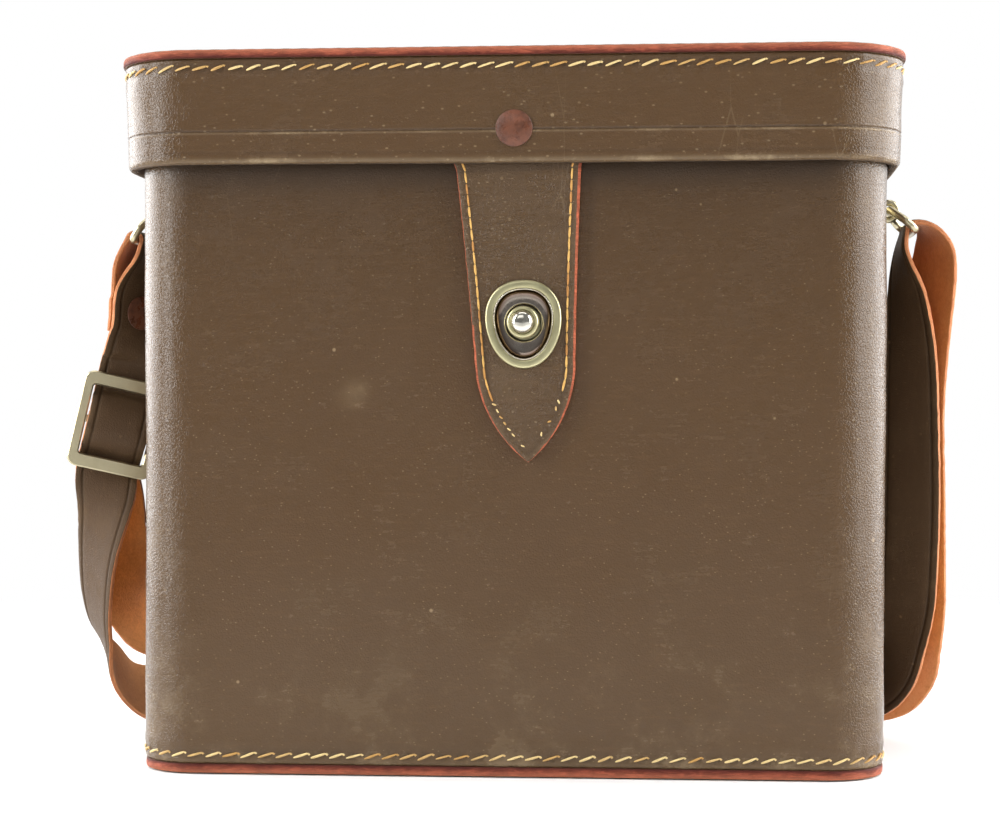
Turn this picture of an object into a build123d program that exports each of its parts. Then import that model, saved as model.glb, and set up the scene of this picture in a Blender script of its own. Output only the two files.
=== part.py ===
"""Hard leather binocular case with a hinged lid, a closing tab with a push stud, and a doubled shoulder strap.

Millimetres. +Z is up, +X is to the right of the front, and the front faces -Y.
The origin is the middle of the underside.
"""

import os
from math import atan2, cos, degrees, radians, sin, sqrt

from build123d import *

# ---------------------------------------------------------------- driving dimensions
CASE_WIDTH = 206.0
CASE_DEPTH = 90.0
CASE_HEIGHT = 198.0
CORNER = 17.0  # plan radius of the outer wall

WALL = 3.0
BASE_THICK = 2.6
BASE_INSET = 0.3  # the base's cut edge stands this far inside the wall's face
WALL_ROLL = 1.2  # rounding of the wall's lower edge
WALL_SKIVE = 1.9  # the wall is pared down by this much at its upper edge, so that the tab clears it
BOARD_THICK = 2.0
LINING = 1.0
PAD_THICK = 3.0
SEAT = 0.15  # clearance between pieces that sit in one another

LID_DROP = 31.5  # how far the skirt hangs below the top of the lid
LID_GAP = 2.2  # between the wall and the skirt
SKIRT = 2.4
SKIRT_FLARE = 1.0  # the skirt leans out by this much over its height
PANEL_THICK = 2.6
PANEL_LIP = 0.4
WALL_IN_LID = 17.5  # how far the wall reaches up inside the skirt

HINGE_WIDE = 150.0
HINGE_THICK = 1.8
HINGE_DROP = 38.0  # how far the leaf runs down the back
HINGE_RISE = 17.0  # how far it runs up inside the skirt
HINGE_CORNER = 8.0
HINGE_FREE = 1.4  # half of the free fold between the two leaves
HINGE_NOTCH = 4.0  # the skirt is cut back by this much above the fold
NOTCH_SIDE = 2.0

TAB_ROOT_WIDE = 34.0
TAB_WAIST_WIDE = 27.0
TAB_LONG = 81.0  # below the lid's edge
TAB_WAIST = 57.0  # below the lid's edge, where the point starts
TAB_PLY = 1.3
TAB_LINING = 0.6
TAB_OFF_WALL = 0.2
TAB_LEAN = 1.9  # degrees
TAB_X = 3.4  # the tab hangs this far to the right of the middle
TAB_FOLD_DROP = 1.2  # the fold lies this far below the lid's edge
TAB_FREE = 1.2  # half of the free fold
TAB_ROOT_RISE = 15.5
TAB_STEP = 1.6  # how much wider the root is cut than the flap

RIVET_RISE = 9.2  # above the skirt's lower edge
RIVET_X = 2.8
RIVET_HEAD = 10.0
RIVET_DOME = 1.1
RIVET_SHANK = 3.0
BURR_WIDE = 7.0
BURR_THICK = 0.5

LATCH_DROP = 43.6  # middle of the latch plate below the lid's edge
LATCH_WIDE = 20.8
LATCH_TALL = 24.0
LATCH_RIM = 2.3
LATCH_PLATE = 1.2
BACK_INSET = 1.2  # the plate behind the tab is this much smaller all round
CUP_SKIN = 0.5
CUP_SLOPE = 1.7  # how far the dish narrows from rim to floor
CUP_HOLE = 10.1
CUP_SINK = 0.3  # rim of the dish below the face of the plate
CUP_FLOOR_GAP = 1.2  # floor of the dish above the wall's face
STUD_RISE = 0.5  # the stud sits this far above the middle of the plate
STUD_WIDE = 8.8
STUD_OUT = 6.0
STUD_BORE = 7.0
STUD_LIP = 0.8
STUD_MOUTH = 6.4
STUD_GROOVE = 0.5
STUD_FLOOR = 0.9
STUD_SHANK = 6.0
STUD_FLANGE = 9.7
STUD_FLANGE_THICK = 0.3
STUD_TAIL = 7.6
STUD_TAIL_THICK = 0.5
BUTTON_WIDE = 6.1
BUTTON_OUT = 2.6
BUTTON_COLLAR = 6.8
BUTTON_COLLAR_THICK = 1.2
BUTTON_PLAY = 0.05
SPRING_WIRE = 0.4
SPRING_TURNS = 3.5
BACKING_WIDE = 18.0
BACKING_THICK = 0.8
CATCH_WIRE = 0.7

LUG_DROP = 9.5  # the lugs sit this far below the lid's edge
LUG_PLATE_WIDE = 15.0
LUG_PLATE_THICK = 1.0
EYE_OUT = 3.9  # middle of the eye from the wall's face
EYE_RING = 2.5  # radius of the eye's own ring
EYE_WIRE = 0.9  # radius of its wire
EYE_SHANK = 1.5  # radius
EYE_HEAD = 3.0  # radius
EYE_HEAD_THICK = 0.8
WASHER_WIDE = 12.0
WASHER_THICK = 0.7
RING_DEEP = 9.0  # inner bar to outer bar
RING_WIRE = 1.1  # radius
RING_NARROW = 8.0  # between the side bars at the eye
RING_BEND = 1.5
RING_STRAIGHT = 4.0  # the side bars run straight for this long at the strap's end
RING_PLAY = 0.6
DROOP = {-1: 58.0, 1: 42.0}  # degrees below level, left and right

STRAP_WIDE = 18.0
STRAP_THICK = 1.9
SKIVED = 1.2  # thickness where the strap is pared down to turn round the slide's bar
STRAP_CLEAR = 0.15
RIVET_STAND = 0.5  # a rivet's head stands this far off the bent leather
STRAP_RIVET_HEAD = 9.5
STRAP_RIVET_DOME = 1.0
STRAP_RIVET_SHANK = 3.0
END_RIVET_HEAD = 7.0
END_RIVET_DOME = 0.8

SLIDE_LONG = 28.6
SLIDE_BAR = 4.0
SLIDE_SIDE = 3.0
SLIDE_THICK = 2.0
SLIDE_BEND = 3.0
SLIDE_MID_BAR = 2.2
SLIDE_MID_THICK = 1.5
SLIDE_OUT = 15.6  # middle of the slide from the side wall
SLIDE_FORWARD = 1.0
SLIDE_DROP = 61.6  # middle of the slide below the lugs
SLIDE_TURN = 73.0  # degrees from facing sideways
SLIDE_TILT = 13.0

# ---------------------------------------------------------------- places worked out from them
HALF_W = CASE_WIDTH / 2
HALF_D = CASE_DEPTH / 2
LID_EDGE = CASE_HEIGHT - LID_DROP
WALL_TOP = LID_EDGE + WALL_IN_LID
LUG_HEIGHT = LID_EDGE - LUG_DROP
SLIDE_HEIGHT = LUG_HEIGHT - SLIDE_DROP
SLIDE_CENTRE = (-HALF_W - SLIDE_OUT, -SLIDE_FORWARD, SLIDE_HEIGHT)
PANEL_BOTTOM = CASE_HEIGHT - PANEL_THICK
SKIRT_TALL = PANEL_BOTTOM - LID_EDGE
FLARE_ANGLE = -degrees(atan2(SKIRT_FLARE, SKIRT_TALL))
BOARD_TOP = BASE_THICK + BOARD_THICK
LID_BOARD_BOTTOM = PANEL_BOTTOM - BOARD_THICK
LID_LINING_BOTTOM = LID_BOARD_BOTTOM - LINING
FOLD_Y = HALF_D + 0.1 + HINGE_THICK / 2
TAB_INNER_Y = -(HALF_D + TAB_OFF_WALL)
TAB_MID_Y = TAB_INNER_Y - TAB_LINING
TAB_OUTER_Y = TAB_MID_Y - TAB_PLY
RIVET_Z = LID_EDGE + RIVET_RISE
TAB_FOLD_Z = LID_EDGE - TAB_FOLD_DROP
STUD_Z = LID_EDGE - LATCH_DROP + STUD_RISE
STUD_X = TAB_X + sin(radians(TAB_LEAN)) * (RIVET_Z - STUD_Z)


def outline(grow, mode=Mode.ADD):
    """The case's plan outline, grown outwards by that much."""
    RectangleRounded(CASE_WIDTH + 2 * grow, CASE_DEPTH + 2 * grow, CORNER + grow, mode=mode)


def close_outline(line):
    """Fills a drawn outline in the sketch that is open."""
    make_face(line.edges())


def dome_outline(radius, rise):
    """Half of a shallow dome's section, to be turned about the sketch's own Y."""
    ball = (radius**2 + rise**2) / (2 * rise)
    middle = (radius / 2, sqrt(ball**2 - radius**2 / 4) - (ball - rise))
    with BuildLine() as line:
        Line((0, 0), (radius, 0))
        ThreePointArc((radius, 0), middle, (0, rise))
        Line((0, rise), (0, 0))
    close_outline(line)


def section_plane(place):
    """The plane through a rivet's axis: its X is the rivet's X and its Y is the way the head faces."""
    return Plane(origin=place.origin, x_dir=place.x_dir, z_dir=-place.y_dir)


def finish(piece, name):
    """Names a finished piece and writes it as one STEP file."""
    piece.part.label = name
    export_step(piece.part, f"parts/{name}.step")


os.makedirs("parts", exist_ok=True)

# ---------------------------------------------------------------- case body
stud_axis = Plane(origin=(STUD_X, -HALF_D, STUD_Z), x_dir=(1, 0, 0), z_dir=(0, -1, 0))
lug_axes = {
    -1: Plane(origin=(-HALF_W, 0, LUG_HEIGHT), x_dir=(0, -1, 0), z_dir=(-1, 0, 0)),
    1: Plane(origin=(HALF_W, 0, LUG_HEIGHT), x_dir=(0, 1, 0), z_dir=(1, 0, 0)),
}

with BuildPart() as body_wall:
    with BuildSketch(Plane.XY.offset(BASE_THICK)):
        outline(0)
    extrude(amount=LID_EDGE - BASE_THICK)
    fillet(body_wall.faces().sort_by(Axis.Z)[0].edges(), WALL_ROLL)
    with BuildSketch(Plane.XY.offset(LID_EDGE)):
        outline(0)
    extrude(amount=WALL_IN_LID, taper=degrees(atan2(WALL_SKIVE, WALL_IN_LID)))
    with BuildSketch(Plane.XY.offset(BASE_THICK)):
        outline(-WALL)
    extrude(amount=WALL_TOP - BASE_THICK, mode=Mode.SUBTRACT)
    with BuildSketch(stud_axis.offset(1)):
        Circle(STUD_SHANK / 2 + SEAT)
    extrude(amount=-(WALL + 2), mode=Mode.SUBTRACT)
    for axis in lug_axes.values():
        with BuildSketch(axis.offset(1)):
            Circle(EYE_SHANK + SEAT)
        extrude(amount=-(WALL + 2), mode=Mode.SUBTRACT)
finish(body_wall, "body_wall")

with BuildPart() as base_panel:
    with BuildSketch():
        outline(-BASE_INSET)
    extrude(amount=BASE_THICK)
    fillet(base_panel.faces().sort_by(Axis.Z)[0].edges(), 0.5)
finish(base_panel, "base_panel")

with BuildPart() as base_board:
    with BuildSketch(Plane.XY.offset(BASE_THICK)):
        outline(-WALL - SEAT)
    extrude(amount=BOARD_THICK)
finish(base_board, "base_board")

with BuildPart() as body_lining:
    with BuildSketch(Plane.XY.offset(BOARD_TOP)):
        outline(-WALL - SEAT)
        outline(-WALL - SEAT - LINING, mode=Mode.SUBTRACT)
    extrude(amount=WALL_TOP - BOARD_TOP - LINING)
    with BuildSketch(stud_axis):
        RectangleRounded(BACKING_WIDE + 1, BACKING_WIDE + 1, 2.5)
    extrude(amount=-(WALL + LINING + 2), mode=Mode.SUBTRACT)
    for axis in lug_axes.values():
        with BuildSketch(axis):
            Circle(WASHER_WIDE / 2 + 0.5)
        extrude(amount=-(WALL + LINING + 2), mode=Mode.SUBTRACT)
finish(body_lining, "body_lining")

with BuildPart() as base_pad:
    with BuildSketch(Plane.XY.offset(BOARD_TOP)):
        outline(-WALL - 2 * SEAT - LINING)
    extrude(amount=PAD_THICK)
    fillet(base_pad.faces().sort_by(Axis.Z)[-1].edges(), 1.0)
finish(base_pad, "base_pad")

# ---------------------------------------------------------------- lid
with BuildPart() as lid_skirt:
    with BuildSketch(Plane.XY.offset(LID_EDGE)):
        outline(LID_GAP + SKIRT)
    extrude(amount=SKIRT_TALL, taper=FLARE_ANGLE)
    fillet(lid_skirt.faces().sort_by(Axis.Z)[0].edges(), WALL_ROLL)
    with BuildSketch(Plane.XY.offset(LID_EDGE)):
        outline(LID_GAP)
    extrude(amount=SKIRT_TALL, taper=FLARE_ANGLE, mode=Mode.SUBTRACT)
    # The fold of the hinge needs room below the skirt's back edge.
    with BuildSketch(Plane.XY.offset(LID_EDGE)):
        with Locations((0, HALF_D + LID_GAP)):
            Rectangle(HINGE_WIDE + 2 * NOTCH_SIDE, 4 * SKIRT)
    extrude(amount=HINGE_NOTCH, mode=Mode.SUBTRACT)
    with BuildSketch(Plane((RIVET_X, 0, RIVET_Z), x_dir=(1, 0, 0), z_dir=(0, -1, 0))):
        Circle(RIVET_SHANK / 2 + SEAT)
    extrude(amount=CASE_DEPTH, mode=Mode.SUBTRACT)
finish(lid_skirt, "lid_skirt")

with BuildPart() as lid_panel:
    with BuildSketch(Plane.XY.offset(PANEL_BOTTOM)):
        outline(LID_GAP + SKIRT + SKIRT_FLARE + PANEL_LIP)
    extrude(amount=PANEL_THICK)
    fillet(lid_panel.faces().sort_by(Axis.Z)[-1].edges(), 0.6)
finish(lid_panel, "lid_panel")

with BuildPart() as lid_board:
    with BuildSketch(Plane.XY.offset(LID_BOARD_BOTTOM)):
        outline(LID_GAP + SKIRT_FLARE / 2)
    extrude(amount=BOARD_THICK)
finish(lid_board, "lid_board")

with BuildPart() as lid_lining:
    with BuildSketch(Plane.XY.offset(LID_LINING_BOTTOM)):
        outline(LID_GAP + SKIRT_FLARE / 2)
    extrude(amount=LINING)
finish(lid_lining, "lid_lining")

# ---------------------------------------------------------------- leather hinge
fold_plane = Plane(origin=(0, FOLD_Y + HINGE_THICK / 2, LID_EDGE), x_dir=(-1, 0, 0), z_dir=(0, 1, 0))

with BuildPart() as hinge_leaf_body:
    with BuildSketch(fold_plane):
        with Locations((0, -HINGE_FREE)):
            Rectangle(HINGE_WIDE, HINGE_DROP - HINGE_FREE, align=(Align.CENTER, Align.MAX))
    extrude(amount=-HINGE_THICK)
    low_corners = hinge_leaf_body.edges().filter_by(Axis.Y).group_by(Axis.Z)[0]
    fillet(low_corners, HINGE_CORNER)
finish(hinge_leaf_body, "hinge_leaf_body")

with BuildPart() as hinge_leaf_lid:
    with BuildSketch(fold_plane):
        with Locations((0, HINGE_FREE)):
            Rectangle(HINGE_WIDE, HINGE_RISE - HINGE_FREE, align=(Align.CENTER, Align.MIN))
    extrude(amount=-HINGE_THICK)
finish(hinge_leaf_lid, "hinge_leaf_lid")

with BuildPart() as hinge_fold:
    with BuildSketch(fold_plane):
        Rectangle(HINGE_WIDE, 2 * HINGE_FREE)
    extrude(amount=-HINGE_THICK)
finish(hinge_fold, "hinge_fold")

# ---------------------------------------------------------------- closing tab
LATCH_Z = LID_EDGE - LATCH_DROP
lean = radians(TAB_LEAN)


def tab_plane(y):
    """A plane across the tab at depth y, whose origin is level with the lid's rivet and whose -Y runs down the leaning tab."""
    return Plane(origin=(TAB_X, y, RIVET_Z), x_dir=(cos(lean), 0, sin(lean)), z_dir=(0, -1, 0))


TAB_EDGE = -RIVET_RISE  # the lid's edge in the tab's own plane
FLAP_TOP = TAB_EDGE - TAB_FOLD_DROP - TAB_FREE
LATCH_AT = TAB_EDGE - LATCH_DROP


def flap_outline(inset):
    """The hanging flap: straight sides that taper to a waist, then a curved point."""
    half_root = TAB_ROOT_WIDE / 2 - inset
    half_waist = TAB_WAIST_WIDE / 2 - inset
    waist = TAB_EDGE - TAB_WAIST
    tip = TAB_EDGE - TAB_LONG + inset
    with BuildLine() as line:
        Line((-half_root, FLAP_TOP), (half_root, FLAP_TOP))
        Line((half_root, FLAP_TOP), (half_waist, waist))
        ThreePointArc((half_waist, waist), (half_waist * 0.66, (waist + tip * 1.35) / 2.35), (0, tip))
        ThreePointArc((0, tip), (-half_waist * 0.66, (waist + tip * 1.35) / 2.35), (-half_waist, waist))
        Line((-half_waist, waist), (-half_root, FLAP_TOP))
    close_outline(line)


def latch_egg(grow):
    """The latch's outline: broad above the middle, narrower below."""
    half = LATCH_WIDE / 2 + grow
    top = LATCH_AT + LATCH_TALL / 2 + grow
    low = LATCH_AT - LATCH_TALL / 2 - grow
    broad = LATCH_AT + LATCH_TALL * 0.09
    rise = top - broad
    drop = broad - low
    with BuildLine() as line:
        Spline((half, broad), (half * 0.74, broad + rise * 0.7), (0, top), tangents=[(0, 1), (-1, 0)])
        Spline((0, top), (-half * 0.74, broad + rise * 0.7), (-half, broad), tangents=[(-1, 0), (0, -1)])
        Spline((-half, broad), (-half * 0.69, low + drop * 0.26), (0, low), tangents=[(0, -1), (1, 0)])
        Spline((0, low), (half * 0.69, low + drop * 0.26), (half, broad), tangents=[(1, 0), (0, 1)])
    close_outline(line)


OPENING = -LATCH_RIM  # from the plate's outline to its opening

with BuildPart() as tab_leather:
    with BuildSketch(tab_plane(TAB_MID_Y)):
        flap_outline(0)
    extrude(amount=TAB_PLY)
    with BuildSketch(tab_plane(TAB_MID_Y + 1)):
        latch_egg(OPENING + SEAT)
    extrude(amount=TAB_PLY + 2, mode=Mode.SUBTRACT)
finish(tab_leather, "tab_leather")

with BuildPart() as tab_lining:
    with BuildSketch(tab_plane(TAB_INNER_Y)):
        flap_outline(0.4)
    extrude(amount=TAB_LINING)
    with BuildSketch(tab_plane(TAB_INNER_Y + 1)):
        latch_egg(-BACK_INSET + SEAT)
    extrude(amount=TAB_LINING + 2, mode=Mode.SUBTRACT)
finish(tab_lining, "tab_lining")

with BuildPart() as tab_root:
    with BuildSketch(tab_plane(TAB_MID_Y)):
        with Locations((0, TAB_EDGE + 0.8)):
            Rectangle(TAB_ROOT_WIDE + TAB_STEP, TAB_ROOT_RISE, align=(Align.CENTER, Align.MIN))
    extrude(amount=TAB_PLY)
    with BuildSketch(Plane((RIVET_X, TAB_MID_Y + 1, RIVET_Z), x_dir=(1, 0, 0), z_dir=(0, -1, 0))):
        Circle(RIVET_SHANK / 2 + SEAT)
    extrude(amount=TAB_PLY + 2, mode=Mode.SUBTRACT)
    fillet(tab_root.edges().filter_by(Axis.Y).group_by(Axis.Z)[-1], 4.0)
finish(tab_root, "tab_root")

with BuildPart() as tab_fold:
    with BuildSketch(tab_plane(TAB_MID_Y)):
        with Locations((0, (FLAP_TOP + TAB_EDGE + 0.8) / 2)):
            Rectangle(TAB_ROOT_WIDE, TAB_EDGE + 0.8 - FLAP_TOP)
    extrude(amount=TAB_PLY)
finish(tab_fold, "tab_fold")

# The skirt leans out, so the rivet's head is seated on the skirt's face at the head's upper rim.
RIVET_SEAT = -(HALF_D + LID_GAP + SKIRT + SKIRT_FLARE * (RIVET_RISE + RIVET_HEAD / 2) / SKIRT_TALL)

rivet_seat = Plane((RIVET_X, RIVET_SEAT, RIVET_Z), x_dir=(1, 0, 0), z_dir=(0, -1, 0))

with BuildPart() as lid_rivet:
    with BuildSketch(section_plane(rivet_seat)):
        dome_outline(RIVET_HEAD / 2, RIVET_DOME)
    revolve(axis=Axis(rivet_seat.origin, rivet_seat.z_dir))
    with BuildSketch(rivet_seat):
        Circle(RIVET_SHANK / 2)
    extrude(amount=RIVET_SEAT - TAB_MID_Y - BURR_THICK)
finish(lid_rivet, "lid_rivet")

with BuildPart() as lid_burr:
    with BuildSketch(Plane((RIVET_X, TAB_MID_Y, RIVET_Z), x_dir=(1, 0, 0), z_dir=(0, 1, 0))):
        Circle(BURR_WIDE / 2)
        Circle(RIVET_SHANK / 2, mode=Mode.SUBTRACT)
    extrude(amount=BURR_THICK)
finish(lid_burr, "lid_burr")

# ---------------------------------------------------------------- latch on the tab
PLATE_FACE_Y = TAB_OUTER_Y - LATCH_PLATE
CUP_RIM_Y = PLATE_FACE_Y + CUP_SINK
CUP_BACK_Y = -HALF_D - CUP_FLOOR_GAP
CUP_FLOOR_Y = CUP_BACK_Y - CUP_SKIN

with BuildPart() as latch_frame:
    with BuildSketch(tab_plane(TAB_OUTER_Y)):
        latch_egg(0)
    extrude(amount=LATCH_PLATE)
    fillet(latch_frame.faces().sort_by(Axis.Y)[0].edges(), 0.5)
    with BuildSketch(tab_plane(TAB_OUTER_Y + 1)):
        latch_egg(OPENING)
    extrude(amount=LATCH_PLATE + 2, mode=Mode.SUBTRACT)
finish(latch_frame, "latch_frame")

with BuildPart() as latch_cup:
    with BuildSketch(tab_plane(CUP_BACK_Y)):
        latch_egg(OPENING - SEAT / 2)
    extrude(amount=CUP_BACK_Y - CUP_RIM_Y)
    with BuildSketch(tab_plane(CUP_FLOOR_Y)):
        latch_egg(OPENING - CUP_SKIN - CUP_SLOPE)
    with BuildSketch(tab_plane(CUP_RIM_Y)):
        latch_egg(OPENING - CUP_SKIN)
    loft(mode=Mode.SUBTRACT)
    with BuildSketch(Plane((STUD_X, CUP_BACK_Y + 1, STUD_Z), x_dir=(1, 0, 0), z_dir=(0, -1, 0))):
        Circle(CUP_HOLE / 2)
    extrude(amount=CUP_SKIN + 2, mode=Mode.SUBTRACT)
finish(latch_cup, "latch_cup")

with BuildPart() as latch_back:
    with BuildSketch(tab_plane(TAB_INNER_Y)):
        latch_egg(-BACK_INSET)
    extrude(amount=TAB_LINING)
    with BuildSketch(tab_plane(TAB_INNER_Y + 1)):
        latch_egg(OPENING)
    extrude(amount=TAB_LINING + 2, mode=Mode.SUBTRACT)
finish(latch_back, "latch_back")

CATCH_Y = CUP_BACK_Y + CATCH_WIRE / 2 + STRAP_CLEAR / 2
CATCH_LEG = STUD_WIDE / 2 + 0.1 + CATCH_WIRE / 2

with BuildPart() as catch_wire:
    with BuildLine():
        Line((STUD_X - CATCH_LEG, CATCH_Y, STUD_Z - 5.5), (STUD_X - CATCH_LEG, CATCH_Y, STUD_Z + 2))
        ThreePointArc(
            (STUD_X - CATCH_LEG, CATCH_Y, STUD_Z + 2),
            (STUD_X, CATCH_Y, STUD_Z + 2 + CATCH_LEG),
            (STUD_X + CATCH_LEG, CATCH_Y, STUD_Z + 2),
        )
        Line((STUD_X + CATCH_LEG, CATCH_Y, STUD_Z + 2), (STUD_X + CATCH_LEG, CATCH_Y, STUD_Z - 5.5))
    with BuildSketch(Plane((STUD_X - CATCH_LEG, CATCH_Y, STUD_Z - 5.5), x_dir=(1, 0, 0), z_dir=(0, 0, 1))):
        Circle(CATCH_WIRE / 2)
    sweep()
finish(catch_wire, "catch_wire")

# ---------------------------------------------------------------- push stud on the case
BORE_FLOOR = STUD_FLOOR
COLLAR_TOP = STUD_OUT - STUD_LIP - BUTTON_PLAY
COLLAR_BOTTOM = COLLAR_TOP - BUTTON_COLLAR_THICK
TAIL_FROM = -(WALL + BACKING_THICK + 0.1)

with BuildPart() as stud_barrel:
    with BuildSketch(stud_axis):
        Circle(STUD_FLANGE / 2)
    extrude(amount=STUD_FLANGE_THICK)
    with BuildSketch(stud_axis):
        Circle(STUD_WIDE / 2)
    extrude(amount=STUD_OUT)
    fillet(stud_barrel.faces().sort_by(Axis.Y)[0].edges(), 0.7)
    with BuildSketch(stud_axis):
        Circle(STUD_SHANK / 2)
    extrude(amount=TAIL_FROM)
    with BuildSketch(stud_axis.offset(TAIL_FROM)):
        Circle(STUD_TAIL / 2)
    extrude(amount=-STUD_TAIL_THICK)
    with BuildSketch(stud_axis.offset(BORE_FLOOR)):
        Circle(STUD_BORE / 2)
    extrude(amount=STUD_OUT - STUD_LIP - BORE_FLOOR, mode=Mode.SUBTRACT)
    with BuildSketch(stud_axis.offset(BORE_FLOOR)):
        Circle(STUD_MOUTH / 2)
    extrude(amount=STUD_OUT, mode=Mode.SUBTRACT)
    with BuildSketch(stud_axis.offset(STUD_FLANGE_THICK)):
        Circle(STUD_WIDE / 2 + 1)
        Circle(STUD_WIDE / 2 - STUD_GROOVE, mode=Mode.SUBTRACT)
    extrude(amount=CATCH_WIRE + 0.3, mode=Mode.SUBTRACT)
finish(stud_barrel, "stud_barrel")

with BuildPart() as button:
    with BuildSketch(stud_axis.offset(COLLAR_BOTTOM)):
        Circle(BUTTON_COLLAR / 2)
    extrude(amount=BUTTON_COLLAR_THICK)
    with BuildSketch(stud_axis.offset(COLLAR_BOTTOM)):
        Circle(BUTTON_WIDE / 2)
    extrude(amount=STUD_OUT + BUTTON_OUT - COLLAR_BOTTOM)
    fillet(button.faces().sort_by(Axis.Y)[0].edges(), 2.4)
finish(button, "button")

SPRING_ROOM = COLLAR_BOTTOM - BORE_FLOOR
SPRING_RADIUS = STUD_BORE / 2 - SEAT - SPRING_WIRE / 2
spring_base = stud_axis.offset(BORE_FLOOR + SPRING_WIRE / 2 + 0.03)

spring_height = SPRING_ROOM - SPRING_WIRE - 0.06

with BuildPart() as button_spring:
    with BuildLine() as coil:
        Helix(
            pitch=spring_height / SPRING_TURNS,
            height=spring_height,
            radius=SPRING_RADIUS,
            center=spring_base.origin,
            direction=spring_base.z_dir,
        )
    with BuildSketch(Plane(coil.line @ 0, z_dir=coil.line % 0)):
        Circle(SPRING_WIRE / 2)
    sweep(is_frenet=True)
finish(button_spring, "button_spring")

with BuildPart() as stud_backing:
    with BuildSketch(stud_axis.offset(-WALL)):
        RectangleRounded(BACKING_WIDE, BACKING_WIDE, 2.5)
        Circle(STUD_SHANK / 2 + SEAT, mode=Mode.SUBTRACT)
    extrude(amount=-BACKING_THICK)
finish(stud_backing, "stud_backing")

# ---------------------------------------------------------------- strap lugs, left and right
RING_HALF_EYE = RING_NARROW / 2 + RING_WIRE
RING_HALF_STRAP = (STRAP_WIDE + RING_PLAY) / 2 + 0.4 + RING_WIRE


def ring_plane(side):
    """The ring's own plane: X along the hang of the ring, Y towards the back, from the middle of the eye."""
    droop = radians(DROOP[side])
    return Plane(
        origin=(side * (HALF_W + EYE_OUT), 0, LUG_HEIGHT),
        x_dir=(side * cos(droop), 0, -sin(droop)),
        z_dir=(sin(droop) * side, 0, cos(droop)),
    )


def ring_bar(side):
    """Middle of the ring's outer bar, as x and z."""
    bar = ring_plane(side).from_local_coords(Vector(RING_DEEP, 0, 0))
    return bar.X, bar.Z


for side, word in ((-1, "left"), (1, "right")):
    axis = lug_axes[side]

    with BuildPart() as lug_plate:
        with BuildSketch(axis):
            Circle(LUG_PLATE_WIDE / 2)
        extrude(amount=LUG_PLATE_THICK)
        fillet(lug_plate.faces().sort_by(Axis.X)[-1 if side > 0 else 0].edges(), 0.5)
        with BuildSketch(axis.offset(-1)):
            Circle(EYE_SHANK + SEAT)
        extrude(amount=LUG_PLATE_THICK + 2, mode=Mode.SUBTRACT)
    finish(lug_plate, f"lug_plate_{word}")

    with BuildPart() as lug_washer:
        with BuildSketch(axis.offset(-WALL)):
            Circle(WASHER_WIDE / 2)
            Circle(EYE_SHANK + SEAT, mode=Mode.SUBTRACT)
        extrude(amount=-WASHER_THICK)
    finish(lug_washer, f"lug_washer_{word}")

    with BuildPart() as lug_eye:
        with BuildSketch(Plane((side * (HALF_W + EYE_OUT), 0, LUG_HEIGHT + EYE_RING), z_dir=(1, 0, 0))):
            Circle(EYE_WIRE)
        revolve(axis=Axis((side * (HALF_W + EYE_OUT), 0, LUG_HEIGHT), (0, 1, 0)))
        with BuildSketch(axis.offset(EYE_OUT - EYE_RING)):
            Circle(EYE_SHANK)
        extrude(amount=-(EYE_OUT - EYE_RING + WALL + WASHER_THICK + 0.1 + EYE_HEAD_THICK))
        with BuildSketch(axis.offset(-(WALL + WASHER_THICK + 0.1))):
            Circle(EYE_HEAD)
        extrude(amount=-EYE_HEAD_THICK)
    finish(lug_eye, f"lug_eye_{word}")

    with BuildPart() as lug_ring:
        with BuildLine(ring_plane(side)) as ring_path:
            FilletPolyline(
                (0, RING_HALF_EYE),
                (RING_DEEP - RING_STRAIGHT, RING_HALF_STRAP),
                (RING_DEEP, RING_HALF_STRAP),
                (RING_DEEP, -RING_HALF_STRAP),
                (RING_DEEP - RING_STRAIGHT, -RING_HALF_STRAP),
                (0, -RING_HALF_EYE),
                radius=RING_BEND,
                close=True,
            )
        with BuildSketch(Plane(ring_path.line @ 0, z_dir=ring_path.line % 0)):
            Circle(RING_WIRE)
        sweep()
    finish(lug_ring, f"lug_ring_{word}")

# ---------------------------------------------------------------- slide on the strap
turn = radians(SLIDE_TURN)
tilt = radians(SLIDE_TILT)
across = Vector(sin(turn), cos(turn), 0)
slide_across = across * cos(tilt) - Vector(0, 0, 1) * sin(tilt)
slide_up = across * sin(tilt) + Vector(0, 0, 1) * cos(tilt)
slide_front = slide_across.cross(slide_up)
SLIDE_INNER = STRAP_WIDE + 1.0
slide_plane = Plane(origin=SLIDE_CENTRE, x_dir=slide_across, z_dir=slide_front)

with BuildPart() as slide:
    with BuildSketch(slide_plane.offset(-SLIDE_THICK / 2)):
        RectangleRounded(SLIDE_INNER + 2 * SLIDE_SIDE, SLIDE_LONG, SLIDE_BEND)
        RectangleRounded(SLIDE_INNER, SLIDE_LONG - 2 * SLIDE_BAR, 0.8, mode=Mode.SUBTRACT)
    extrude(amount=SLIDE_THICK)
    chamfer(slide.edges().group_by(lambda edge: round(slide_plane.to_local_coords(edge.center()).Z, 3))[-1], 0.4)
    with BuildSketch(Plane(origin=slide_plane.origin, x_dir=slide_up, z_dir=slide_across)):
        RectangleRounded(SLIDE_MID_BAR, SLIDE_MID_THICK, 0.5)
    extrude(amount=(SLIDE_INNER + SLIDE_SIDE) / 2, both=True)
finish(slide, "slide")

# ---------------------------------------------------------------- strap
# Each station is the middle of the strap, the way across it, and its thickness. The way across runs
# from the edge that faces forward at the left ring, and the grain is on the left of that ring.


def on_slide(up, front, thick=STRAP_THICK):
    """A station in the slide's own frame, straight across it."""
    return (slide_plane.origin + slide_up * up + slide_front * front, slide_across, thick)


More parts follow.
